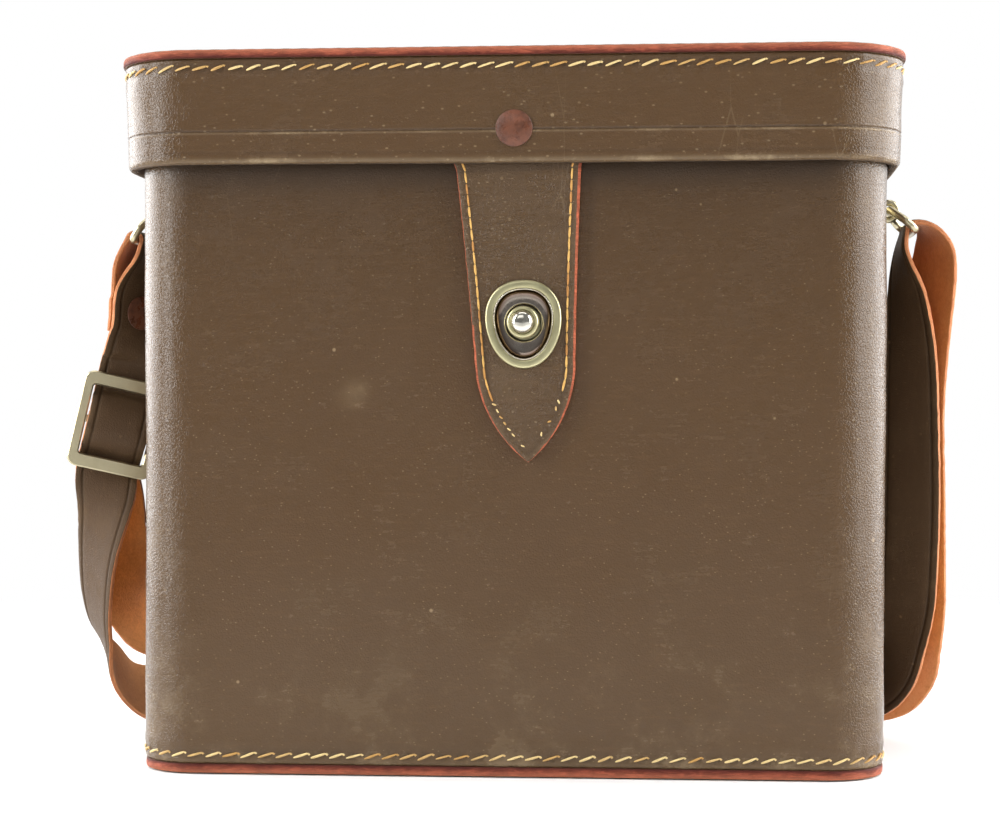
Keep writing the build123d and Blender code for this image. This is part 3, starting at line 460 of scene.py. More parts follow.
    longer = maths("MULTIPLY", given["Length"], chance(0.9, 1.06, 2))
    thicker = maths("MULTIPLY", maths("MULTIPLY", given["Thread"], 4.8), chance(0.88, 1.1, 3))
    grown = add("ShaderNodeCombineXYZ", {0: longer, 1: thicker, 2: thicker}).outputs[0]
    laid = add(
        "GeometryNodeInstanceOnPoints",
        {"Points": spots.outputs["Points"], "Instance": stitch, "Rotation": set_at, "Scale": grown},
    )
    gone = maths("LESS_THAN", chance(0.0, 1.0, 4), given["Missing"])
    lost = {"Geometry": laid.outputs[0], "Selection": gone}
    kept = add("GeometryNodeDeleteGeometry", lost, domain="INSTANCE").outputs[0]
    shade = add(
        "GeometryNodeStoreNamedAttribute",
        {"Geometry": kept, "Name": "shade", "Value": chance(0.0, 1.0, 5)},
        data_type="FLOAT",
        domain="INSTANCE",
    ).outputs[0]
    real = add("GeometryNodeRealizeInstances", {"Geometry": shade}).outputs[0]
    round_off = add("GeometryNodeSetShadeSmooth", {"Geometry": real}).outputs[0]
    done = add("GeometryNodeSetMaterial", {"Geometry": round_off, "Material": given["Finish"]}).outputs[0]
    tree.links.new(done, tree.nodes.new("NodeGroupOutput").inputs[0])
    return tree


def sew(name, path, outward, body, finish, closed=False, **sizes):
    """Sews along millimetre points with their outward ways, and gives a plain mesh that rides on the body."""
    count = len(path)
    edges = [(k, k + 1) for k in range(count - 1)] + ([(count - 1, 0)] if closed else [])
    mesh = bpy.data.meshes.new(name)
    mesh.from_pydata([tuple(Vector(p) * MM) for p in path], edges, [])
    ways = mesh.attributes.new("outward", "FLOAT_VECTOR", "POINT")
    ways.data.foreach_set("vector", np.asarray(outward, dtype=np.float32).ravel())
    places = np.asarray(path, dtype=float)
    if closed:
        along = np.roll(places, -1, 0) - np.roll(places, 1, 0)
    else:
        along = np.gradient(places, axis=0)
    run = mesh.attributes.new("along", "FLOAT_VECTOR", "POINT")
    run.data.foreach_set("vector", along.astype(np.float32).ravel())
    row = bpy.data.objects.new(name + "_path", mesh)
    bpy.context.scene.collection.objects.link(row)
    tree = stitch_tree()
    modifier = row.modifiers.new("Stitches", "NODES")
    modifier.node_group = tree
    names = {item.name: item.identifier for item in tree.interface.items_tree if item.in_out == "INPUT"}
    for key, value in sizes.items():
        modifier[names[key.capitalize()]] = value
    modifier[names["Finish"]] = finish
    sewn = bpy.data.meshes.new_from_object(row.evaluated_get(bpy.context.evaluated_depsgraph_get()))
    sewn.name = name
    bpy.data.objects.remove(row)
    if not sewn.polygons:
        raise RuntimeError(f"no stitches were laid for {name}")
    made = bpy.data.objects.new(name, sewn)
    bpy.context.scene.collection.objects.link(made)
    if body:
        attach(made, body)
    return made


# ------------------------------------------------------------------ shader groups that several finishes share
def group(name, takes, gives):
    """An empty shader group that takes a vector and named floats and gives named floats, with its two end nodes."""
    tree = bpy.data.node_groups.new(name, "ShaderNodeTree")
    tree.interface.new_socket("Vector", in_out="INPUT", socket_type="NodeSocketVector")
    for title, default in takes.items():
        tree.interface.new_socket(title, in_out="INPUT", socket_type="NodeSocketFloat").default_value = default
    for title in gives:
        tree.interface.new_socket(title, in_out="OUTPUT", socket_type="NodeSocketFloat")
    return tree, tree.nodes.new("NodeGroupInput").outputs, tree.nodes.new("NodeGroupOutput").inputs


def maths(tree, operation, a, b=0.0, clamp=False):
    return node(tree, "ShaderNodeMath", {0: a, 1: b, 2: 0.0}, operation=operation, use_clamp=clamp).outputs[0]


def times(tree, a, b, clamp=False):
    return maths(tree, "MULTIPLY", a, b, clamp)


def plus(tree, a, b):
    return maths(tree, "ADD", a, b)


def less(tree, a, b):
    return maths(tree, "SUBTRACT", a, b)


def ramp(tree, value, low, high, to_low=0.0, to_high=1.0):
    """A smooth step of a value."""
    return node(
        tree,
        "ShaderNodeMapRange",
        {"Value": value, "From Min": low, "From Max": high, "To Min": to_low, "To Max": to_high},
        interpolation_type="SMOOTHSTEP",
    ).outputs[0]


def toned(tone, by):
    """A colour made darker or lighter."""
    return tuple(min(1, channel * by) for channel in tone)


def blend_colour(tree, factor, a, b):
    made = node(tree, "ShaderNodeMix", {0: factor}, data_type="RGBA", blend_type="MIX")
    for socket, value in ((made.inputs[6], a), (made.inputs[7], b)):
        if isinstance(value, bpy.types.NodeSocket):
            tree.links.new(value, socket)
        else:
            socket.default_value = (*value[:3], 1.0)
    return made.outputs[2]


def cloud(tree, where, scale, detail=3.0, rough=0.55, stretch=None, distort=0.0):
    """Noise over object or surface coordinates in metres, at a scale in cells to the metre."""
    if stretch:
        where = node(tree, "ShaderNodeMapping", {"Vector": where, "Scale": stretch}).outputs[0]
    return node(
        tree,
        "ShaderNodeTexNoise",
        {"Vector": where, "Scale": scale, "Detail": detail, "Roughness": rough, "Distortion": distort},
    ).outputs[0]


def grain_group():
    """The pebbled grain of vegetable-tanned leather: raised cells, fine wrinkles and open pores."""
    tree, given, result = group("Leather grain", {"Pebble": 0.00085, "Wrinkles": 0.5}, ("Height", "Furrow shade"))
    cells = maths(tree, "DIVIDE", 1.0, given["Pebble"])
    warp = node(tree, "ShaderNodeTexNoise", {"Vector": given["Vector"], "Scale": 620.0, "Detail": 2.0}).outputs[1]
    shift = node(tree, "ShaderNodeVectorMath", {0: warp, 1: (0.5, 0.5, 0.5)}, operation="SUBTRACT").outputs[0]
    shift = node(tree, "ShaderNodeVectorMath", {0: shift, "Scale": 0.0011}, operation="SCALE").outputs[0]
    moved = node(tree, "ShaderNodeVectorMath", {0: given["Vector"], 1: shift}, operation="ADD").outputs[0]
    pebble = node(tree, "ShaderNodeTexVoronoi", {"Vector": moved, "Scale": cells}, feature="DISTANCE_TO_EDGE")
    raised = ramp(tree, pebble.outputs["Distance"], 0.0, 0.24)
    fine = cloud(tree, given["Vector"], 3400.0, 3.0, 0.6)
    wrinkle = cloud(tree, given["Vector"], 260.0, 4.0, 0.62, (0.55, 0.55, 2.3), 1.2)
    crease = ramp(tree, maths(tree, "ABSOLUTE", less(tree, wrinkle, 0.5)), 0.0, 0.05)
    crease = less(tree, 1.0, times(tree, less(tree, 1.0, crease), given["Wrinkles"]))
    height = times(tree, times(tree, raised, crease), 0.75)
    height = plus(tree, height, times(tree, fine, 0.25))
    tree.links.new(height, result["Height"])
    # Painted shade: the low places between the pebbles and in the wrinkles, for the finish to darken.
    tree.links.new(less(tree, 1.0, times(tree, raised, crease)), result["Furrow shade"])
    return tree


def handling_group():
    """The marks of long use: slow stains, small pale specks and a few scratches."""
    takes = {"Specks": 1.0, "Scratches": 1.0}
    tree, given, result = group("Marks of use", takes, ("Stain", "Speck", "Scratch", "Rub", "Pore"))
    slow = cloud(tree, given["Vector"], 16.0, 4.0, 0.6, distort=0.6)
    tree.links.new(slow, result["Stain"])
    at = given["Vector"]
    dots = node(tree, "ShaderNodeTexVoronoi", {"Vector": at, "Scale": 150.0, "Randomness": 1.0}, feature="F1")
    size = ramp(tree, dots.outputs["Distance"], 0.045, 0.1, 1.0, 0.0)
    few = ramp(tree, node(tree, "ShaderNodeSeparateColor", {0: dots.outputs["Color"]}).outputs[0], 0.86, 0.9)
    speck = times(tree, times(tree, size, few), given["Specks"], clamp=True)
    tree.links.new(speck, result["Speck"])
    ticks = []
    for scale in (380.0, 640.0):
        lie = {"Vector": at, "Rotation": (0, 0.25, 0), "Scale": (0.8, 0.8, 1.25)}
        lain = node(tree, "ShaderNodeMapping", lie).outputs[0]
        hairs = node(tree, "ShaderNodeTexVoronoi", {"Vector": lain, "Scale": scale}, feature="F1")
        some = ramp(tree, node(tree, "ShaderNodeSeparateColor", {0: hairs.outputs["Color"]}).outputs[1], 0.1, 1.0)
        ticks.append(times(tree, ramp(tree, hairs.outputs["Distance"], 0.07, 0.17, 1.0, 0.0), some))
    tree.links.new(maths(tree, "MAXIMUM", ticks[0], ticks[1]), result["Pore"])
    strands = []
    for turn, seed in ((0.5, 0.0), (-0.9, 3.0), (1.35, 7.0)):
        lie = {"Vector": at, "Rotation": (0.3, turn, 0.2), "Location": (seed, seed, seed), "Scale": (1.0, 1.0, 0.16)}
        lie = node(tree, "ShaderNodeMapping", lie).outputs[0]
        hair = node(tree, "ShaderNodeTexVoronoi", {"Vector": lie, "Scale": 105.0}, feature="DISTANCE_TO_EDGE")
        broken = ramp(tree, cloud(tree, lie, 40.0, 2.0), 0.67, 0.73)
        strands.append(times(tree, ramp(tree, hair.outputs["Distance"], 0.002, 0.012, 1.0, 0.0), broken))
    both = maths(tree, "MAXIMUM", maths(tree, "MAXIMUM", strands[0], strands[1]), strands[2])
    tree.links.new(times(tree, both, given["Scratches"], clamp=True), result["Scratch"])
    rub = ramp(tree, cloud(tree, given["Vector"], 75.0, 5.0, 0.68), 0.44, 0.7)
    tree.links.new(rub, result["Rub"])
    return tree


def nap_group():
    """The flesh side of leather: short nap brushed along the strap, with rubbed and oiled patches."""
    tree, given, result = group("Suede nap", {"Nap": 1.0}, ("Height", "Tone", "Patch"))
    hairs = cloud(tree, given["Vector"], 2600.0, 4.0, 0.7, (1.0, 0.42, 1.0))
    tufts = cloud(tree, given["Vector"], 620.0, 4.0, 0.65, (1.0, 0.55, 1.0), 0.8)
    height = plus(tree, times(tree, hairs, 0.55), times(tree, tufts, 0.45))
    tree.links.new(times(tree, height, given["Nap"]), result["Height"])
    tree.links.new(height, result["Tone"])
    patches = cloud(tree, given["Vector"], 42.0, 4.0, 0.6, (1.0, 0.4, 1.0))
    tree.links.new(ramp(tree, patches, 0.35, 0.68), result["Patch"])
    return tree


def cut_group():
    """A knife-cut leather edge: packed fibres in thin layers, with dirt between them."""
    tree, given, result = group("Cut edge", {"Layers": 1.0}, ("Height", "Tone", "Dirt"))
    layers = cloud(tree, given["Vector"], 900.0, 4.0, 0.65, (0.3, 0.3, 1.7), 0.8)
    fibre = cloud(tree, given["Vector"], 3000.0, 3.0, 0.6)
    height = plus(tree, times(tree, layers, given["Layers"]), times(tree, fibre, 0.5))
    tree.links.new(height, result["Height"])
    tree.links.new(layers, result["Tone"])
    tree.links.new(ramp(tree, cloud(tree, given["Vector"], 150.0, 5.0, 0.7), 0.42, 0.68), result["Dirt"])
    return tree


def metal_group():
    """Handled plated metal: fine hairlines, tarnish and small pits."""
    tree, given, result = group("Handled plating", {"Hairlines": 1.0}, ("Height", "Tarnish", "Rough"))
    hair = cloud(tree, given["Vector"], 900.0, 3.0, 0.7, (6.0, 1.0, 0.5))
    pits = cloud(tree, given["Vector"], 2300.0, 2.0, 0.6)
    tree.links.new(
        plus(tree, times(tree, hair, given["Hairlines"]), times(tree, pits, 0.4)), result["Height"]
    )
    tree.links.new(ramp(tree, cloud(tree, given["Vector"], 210.0, 5.0, 0.65), 0.42, 0.72), result["Tarnish"])
    tree.links.new(ramp(tree, cloud(tree, given["Vector"], 330.0, 4.0, 0.7), 0.3, 0.75), result["Rough"])
    return tree


GROUPS = {}


def shared(name):
    """The named shader group, made when it is first wanted."""
    makers = {"grain": grain_group, "marks": handling_group, "nap": nap_group, "cut": cut_group, "metal": metal_group}
    if name not in GROUPS:
        GROUPS[name] = makers[name]()
    return GROUPS[name]


# ------------------------------------------------------------------ finishes
def finish_material(name, **plain):
    """A material with a Principled shader whose plain numbers are set on its own sockets."""
    material = bpy.data.materials.new(name)
    material.use_nodes = True
    tree = material.node_tree
    shader = tree.nodes["Principled BSDF"]
    for key, value in plain.items():
        shader.inputs[key.replace("_", " ")].default_value = value
    return material, tree, shader


def where(tree, surface=False):
    """Object coordinates, or the piece's own surface map in metres."""
    if surface:
        return node(tree, "ShaderNodeUVMap", uv_map="Surface").outputs[0]
    return node(tree, "ShaderNodeTexCoord").outputs["Object"]


def field(tree, name):
    """A value that the piece carries at its points."""
    return node(tree, "ShaderNodeAttribute", attribute_name=name, attribute_type="GEOMETRY").outputs["Fac"]


def use(tree, name, **inputs):
    """Places a shared group in a material, and gives its outputs."""
    made = node(tree, "ShaderNodeGroup", node_tree=shared(name))
    for key, value in inputs.items():
        socket = made.inputs[key]
        if isinstance(value, bpy.types.NodeSocket):
            tree.links.new(value, socket)
        else:
            socket.default_value = value
    return made.outputs


def painted(made, tone, rough, height, depth):
    """Links a finish's colour, roughness and relief to its shader, and gives the material."""
    material, tree, shader = made
    tree.links.new(tone, shader.inputs["Base Color"])
    tree.links.new(rough, shader.inputs["Roughness"])
    relief = node(tree, "ShaderNodeBump", {"Height": height, "Distance": depth, "Strength": 1.0})
    tree.links.new(relief.outputs[0], shader.inputs["Normal"])
    return material


def grain_leather(
    name, base, deep, worn, pebble, rough=(0.17, 0.29), surface=False, depth=0.00006, wrinkles=0.08, shine=0.32
):
    """Grain-side leather. The wear field lightens it, with wear and some painted highlights, and the painted shade
    field darkens it.
    """
    made = finish_material(name, Specular_IOR_Level=shine)
    tree = made[1]
    at = where(tree, surface)
    grain = use(tree, "grain", Vector=at, Pebble=pebble, Wrinkles=wrinkles)
    marks = use(tree, "marks", Vector=at)
    wear = times(tree, field(tree, "wear"), ramp(tree, marks["Rub"], 0.0, 1.0, 0.3, 0.95), clamp=True)
    streak = cloud(tree, at, 620.0, 4.0, 0.66, (1.2, 0.3, 1.0) if surface else (0.22, 0.22, 1.5), 0.35)
    tone = base
    for amount, over in (
        (times(tree, ramp(tree, marks["Stain"], 0.34, 0.7), 0.12), toned(base, 0.7)),
        (ramp(tree, streak, 0.5, 0.72, 0.0, 0.28), toned(base, 1.5)),
        # painted shade in the grain's furrows
        (times(tree, grain["Furrow shade"], 0.05), deep),
        (times(tree, marks["Pore"], 0.42), worn),
        # painted shade from the piece's painted shade field
        (field(tree, "painted_shade"), deep),
        (wear, worn),
        (times(tree, marks["Scratch"], 0.12), worn),
        (times(tree, marks["Speck"], 0.45), toned(worn, 1.4)),
    ):
        tone = blend_colour(tree, amount, tone, over)
    gloss = times(tree, marks["Rub"], rough[1] - rough[0])
    gloss = plus(tree, gloss, ramp(tree, streak, 0.3, 0.7, rough[0] - 0.03, rough[0] + 0.05))
    gloss = plus(tree, gloss, times(tree, field(tree, "painted_shade"), 0.2))
    height = less(tree, grain["Height"], times(tree, marks["Scratch"], 0.35))
    height = plus(tree, height, times(tree, streak, 0.18))
    height = less(tree, height, times(tree, marks["Pore"], 0.7))
    return painted(made, tone, gloss, height, depth)


def flesh_leather(name, tone, pale, dark, surface=True):
    """Suede side. The wear field makes it pale, and the painted shade field dark."""
    made = finish_material(name, Specular_IOR_Level=0.18, Sheen_Weight=0.22, Sheen_Roughness=0.45)
    tree = made[1]
    nap = use(tree, "nap", Vector=where(tree, surface))
    mixed = blend_colour(tree, nap["Patch"], tone, toned(tone, 0.72))
    mixed = blend_colour(tree, ramp(tree, nap["Tone"], 0.38, 0.62, 0.34, 0.0), mixed, dark)
    # painted shade
    mixed = blend_colour(tree, times(tree, field(tree, "painted_shade"), 1.0, clamp=True), mixed, dark)
    rubbed = times(tree, field(tree, "wear"), ramp(tree, nap["Tone"], 0.3, 0.6, 0.55, 1.0), clamp=True)
    mixed = blend_colour(tree, rubbed, mixed, pale)
    return painted(made, mixed, ramp(tree, nap["Tone"], 0.3, 0.7, 0.96, 0.78), nap["Height"], 0.00022)


def cut_leather(name, tone, dark, pale, surface=False):
    """Raw cut edge. The wear field makes it pale, and the painted shade field dark."""
    made = finish_material(name, Specular_IOR_Level=0.25)
    tree = made[1]
    edge = use(tree, "cut", Vector=where(tree, surface))
    mixed = blend_colour(tree, ramp(tree, edge["Tone"], 0.35, 0.65), toned(tone, 0.55), toned(tone, 1.3))
    mixed = blend_colour(tree, times(tree, edge["Dirt"], 0.55), mixed, dark)
    mixed = blend_colour(tree, times(tree, field(tree, "wear"), 0.85), mixed, pale)
    # painted shade
    mixed = blend_colour(tree, field(tree, "painted_shade"), mixed, dark)
    return painted(made, mixed, ramp(tree, edge["Tone"], 0.3, 0.7, 0.85, 0.6), edge["Height"], 0.00022)


def felt_cloth(name, tone):
    """Short pressed felt with curls and slightly faded places."""
    made = finish_material(name, Specular_IOR_Level=0.12, Sheen_Weight=0.5, Sheen_Roughness=0.5)
    tree = made[1]
    at = where(tree)
    fuzz = cloud(tree, at, 1500.0, 5.0, 0.75)
    curl = cloud(tree, at, 380.0, 4.0, 0.65, distort=2.0)
    worn = cloud(tree, at, 24.0, 3.0, 0.6)
    mixed = blend_colour(tree, ramp(tree, fuzz, 0.35, 0.68), toned(tone, 0.5), toned(tone, 1.35))
    mixed = blend_colour(tree, ramp(tree, worn, 0.5, 0.75, 0.0, 0.4), mixed, (0.16, 0.1, 0.08))
    height = plus(tree, times(tree, fuzz, 0.6), times(tree, curl, 0.6))
    return painted(made, mixed, ramp(tree, fuzz, 0.3, 0.7, 1.0, 0.85), height, 0.0004)


def fibre_board(name, tone):
    """Pressed fibre board."""
    made = finish_material(name, Specular_IOR_Level=0.2)
    tree = made[1]
    pulp = cloud(tree, where(tree), 700.0, 5.0, 0.7, distort=0.6)
    mixed = blend_colour(tree, ramp(tree, pulp, 0.35, 0.65), toned(tone, 0.6), toned(tone, 1.2))
    return painted(made, mixed, ramp(tree, pulp, 0.3, 0.7, 0.95, 0.8), pulp, 0.0002)


def waxed_thread(name, tone, old):
    """Thread whose strands differ by their shade field, from the old colour to the fresh one."""
    made = finish_material(name, Specular_IOR_Level=0.4)
    tree = made[1]
    ply = cloud(tree, where(tree), 2600.0, 3.0, 0.6)
    mixed = blend_colour(tree, ramp(tree, field(tree, "shade"), 0.25, 0.95), tone, old)
    mixed = blend_colour(tree, ramp(tree, ply, 0.5, 0.8, 0.0, 0.55), mixed, toned(old, 0.42))
    return painted(made, mixed, ramp(tree, ply, 0.3, 0.7, 0.5, 0.75), ply, 0.00012)


def plated_metal(name, tone, tarnish, rough):
    """Plated metal with light tarnish. The painted shade field darkens it, as painted shade at edges and as a painted
    dark reflection in the latch's dish.
    """
    made = finish_material(name, Metallic=1.0)
    tree = made[1]
    marks = use(tree, "metal", Vector=where(tree))
    mixed = blend_colour(tree, times(tree, marks["Tarnish"], 0.16), tone, tarnish)
    # painted shade, and in the dish a painted dark reflection
    mixed = blend_colour(tree, field(tree, "painted_shade"), mixed, toned(tarnish, 0.16))
    return painted(made, mixed, ramp(tree, marks["Rough"], 0.0, 1.0, *rough), marks["Height"], 0.000004)


def lacquered_metal(name, tone, bare):
    """Brown lacquer over metal, rubbed through where the wear field says so."""
    made = finish_material(name, Specular_IOR_Level=0.5)
    tree = made[1]
    at = where(tree)
    marks = use(tree, "metal", Vector=at)
    chips = ramp(tree, cloud(tree, at, 900.0, 5.0, 0.75), 0.4, 0.62)
    through = ramp(tree, plus(tree, field(tree, "wear"), times(tree, chips, 0.3)), 0.93, 1.05)
    coat = ramp(tree, cloud(tree, at, 420.0, 4.0, 0.65), 0.35, 0.7)
    mixed = blend_colour(tree, through, blend_colour(tree, coat, tone, toned(tone, 0.48)), bare)
    tree.links.new(times(tree, through, 0.85), made[2].inputs["Metallic"])
    height = less(tree, marks["Height"], times(tree, through, 1.2))
    return painted(made, mixed, ramp(tree, marks["Rough"], 0.0, 1.0, 0.24, 0.42), height, 0.00005)


FINISHES = {}


def finish(name):
    """The named finish, made when it is first wanted, in the colours of the scene's settings."""
    if name in FINISHES:
        return FINISHES[name]
    hue = bpy.context.scene.case_leather
    trim = bpy.context.scene.case_trim
    pebble = bpy.context.scene.case_tooling.grain
    brown, deep, worn = tuple(hue.brown), tuple(hue.deep), tuple(hue.worn)
    cut, dark = tuple(hue.cut), linear(52, 30, 22)
    makers = {
        "brown grain": lambda: grain_leather(name, brown, deep, worn, pebble),
        "tab grain": lambda: grain_leather(
            name, linear(80, 60, 38), deep, worn, pebble, (0.26, 0.4), depth=0.00012, wrinkles=0.8
        ),
        "strap grain": lambda: grain_leather(
            name, tuple(hue.strap), deep, linear(112, 90, 64), pebble * 0.8, (0.46, 0.62), True, shine=0.14
        ),
        "suede": lambda: flesh_leather(name, tuple(hue.suede), tuple(hue.suede_pale), tuple(hue.suede_dark)),
        "rough inside": lambda: flesh_leather(
            name, linear(138, 100, 66), linear(160, 128, 96), linear(78, 50, 30), surface=False
        ),
        "cut edge": lambda: cut_leather(name, cut, dark, linear(198, 122, 84)),
        "tab edge": lambda: cut_leather(name, linear(168, 84, 56), linear(92, 36, 24), linear(196, 122, 88)),
        # Its dark colour takes the edge's dirt and the painted shadow line where the end panels' edges meet the wall
        # and the skirt.
        "rim edge": lambda: cut_leather(name, linear(146, 72, 50), linear(70, 22, 15), linear(178, 110, 80)),
        "dark edge": lambda: cut_leather(name, linear(92, 74, 56), linear(40, 30, 22), linear(120, 98, 74)),
        "strap edge": lambda: cut_leather(name, linear(206, 132, 84), linear(140, 70, 36), linear(222, 158, 112), True),
        "felt": lambda: felt_cloth(name, tuple(hue.felt)),
        "board": lambda: fibre_board(name, tuple(hue.board)),
        "thread": lambda: waxed_thread(name, tuple(trim.thread), tuple(trim.thread_old)),
        "gold thread": lambda: waxed_thread(name, linear(214, 168, 92), linear(176, 122, 60)),
        "satin nickel": lambda: plated_metal(name, tuple(trim.nickel), linear(138, 128, 98), (0.3, 0.38)),
        "bright nickel": lambda: plated_metal(name, linear(222, 218, 206), linear(150, 134, 110), (0.06, 0.2)),
        # In the dish the painted shade blends towards this copper tone made dark: a painted dark, warm reflection
        # inside the polished dish.
        "dish nickel": lambda: plated_metal(name, linear(222, 216, 204), linear(190, 122, 84), (0.06, 0.16)),
        "slide plating": lambda: plated_metal(name, tuple(trim.slide), linear(150, 132, 92), (0.3, 0.4)),
        "steel": lambda: plated_metal(name, linear(168, 162, 148), linear(112, 98, 78), (0.3, 0.5)),
        "lacquer": lambda: lacquered_metal(name, tuple(trim.lacquer), linear(196, 176, 140)),
    }
    FINISHES[name] = makers[name]()
    return FINISHES[name]


# ------------------------------------------------------------------ case body
def shell(name, profile, materials, body, shape, replaced):
    """A wall that follows the plan. profile is (grow, height, material) round its section, outside first, going up.

    shape(x, y, z, nx, ny, way, part) gives how far a point moves out and up, its wear and its painted shade.
    """
    count = len(plan_ring(0, CORNER))
    way = ring_lengths(plan_ring(0, CORNER))[0]
    skin, parts, run = Skin(), [], 0.0
    for row, (grow, height, part) in enumerate(profile):
        if row:
            run += hypot(grow - profile[row - 1][0], height - profile[row - 1][1])
        for column, (x, y, nx, ny) in enumerate(plan_ring(grow, CORNER)):
            out, up, wear, painted_shade = shape(x, y, height, nx, ny, way[column], part)
            skin.add((x + nx * out, y + ny * out, height + up), way[column], run, wear, painted_shade)
        parts += [part] * count
    made = skin.piece(name, grid_faces(len(profile), count, wrap_rows=True), materials, parts)
    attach(made, body)
    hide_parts(*replaced)
    return made


def climb(start, stop, steps):
    """Even steps from start towards stop, without stop."""
    return [start + (stop - start) * k / steps for k in range(steps)]


def clamp(value, low=0.0, high=1.0):
    return max(low, min(high, value))


def make_body_wall(sewing):
    """The wall of the case, drawn in by its stitches near the base."""
    row = sewing.row / MM
    whole = ring_lengths(plan_ring(0, CORNER))[1]
    pitch = even_pitch(whole, sewing.pitch)
    roll = 1.2
    profile = [(-WALL, BASE_THICK, 1), (-roll, BASE_THICK, 1)]
    profile += [(-roll + roll * sin(a), BASE_THICK + roll - roll * cos(a), 0) for a in (0.5, 1.05)]
    profile += [(0, BASE_THICK + roll, 0)]
    profile += [(0, z, 0) for z in climb(4.3, 12.5, 12)]
    profile += [(0, z, 0) for z in climb(12.5, 24, 5)]
    profile += [(0, z, 0) for z in climb(24, LID_EDGE - 3, 26)]
    profile += [(0, LID_EDGE - 2, 0), (0, LID_EDGE, 0)]
    profile += [(-1.9 * t / 7, LID_EDGE + 17 * t / 7, 0) for t in range(1, 8)]
    profile += [(-2.2, WALL_TOP, 1), (-WALL + 0.2, WALL_TOP, 1)]
    profile += [(-WALL, z, 2) for z in (WALL_TOP - 0.4, 90, 5)]

    def shape(x, y, z, nx, ny, way, part):
        corner = cornerness(nx, ny)
        if part != 0:
            return 0, 0, 0.2, 0.1
        low = z - row
        out = pucker(way, low, pitch)
        body_part = clamp((z - 8) / 12) * clamp((LID_EDGE - z) / 8)
        out += dented(x, y, z, 0.42, 38.0, 3.0) * body_part * (1 - 0.5 * corner) * clamp(1 + ny * 0.9 if ny > 0 else 1)
        out += dented(x, y, z, 0.1, 9.0, 8.0) * clamp((z - 4) / 8)
        flare = clamp(z / LID_EDGE) * clamp((187 - z) / 20)
        sides = 1.15 * clamp((x - 60) / 30) + 0.3 * clamp((-x - 60) / 30)
        out += flare * clamp((-y - 12) / 16) * sides * abs(nx) ** 0.5
        if ny > 0.3 and z > 125:
            out = min(out, 0.0)
        side = abs(nx) > 0.9 and abs(z - 157) < 12 and abs(y) < 12
        if side or (abs(x) < 24 and ny < -0.5 and 80 < z):
            out = min(out, 0.02)
        edge = exp(-((z - 3.5) / 2.2) ** 2)
        wear = corner * (0.1 + 0.1 * noise.noise(Vector((x * 0.05, y * 0.05, z * 0.04)))) + 0.3 * edge
        scuff = exp(-(((x + 41.5) / 3.4) ** 2 + ((z - 104.5) / 3.2) ** 2)) * (ny < 0)
        # The 0.16 term is painted bounce light from the floor, lighter towards the bottom; the scuff is real wear.
        wear += 0.16 * exp(-((z / 40) ** 2)) + 0.5 * scuff
        # Painted shade: the wall is darkened where the skirt covers it, below the lid's edge, at the needle holes and
        # along the stitch row.
        shade_under_skirt = exp(-(((z - LID_EDGE - 2) / 4) ** 2))
        below = max(0.0, LID_EDGE - z)
        shaded = (0.5 * exp(-(below / 4)) + 0.42 * exp(-(below / 26))) * (1 - corner)
        needle_shade = 0.75 * needle_hole(way, low, pitch)
        painted_shade = clamp(needle_shade + 0.45 * shade_under_skirt + shaded + 0.22 * exp(-((low / 1.4) ** 2)))
        return out, 0, clamp(wear), painted_shade

    return shell(
        "case_wall_leather",
        profile,
        [finish("brown grain"), finish("cut edge"), finish("rough inside")],
        "case",
        shape,
        ["body_wall"],
    )


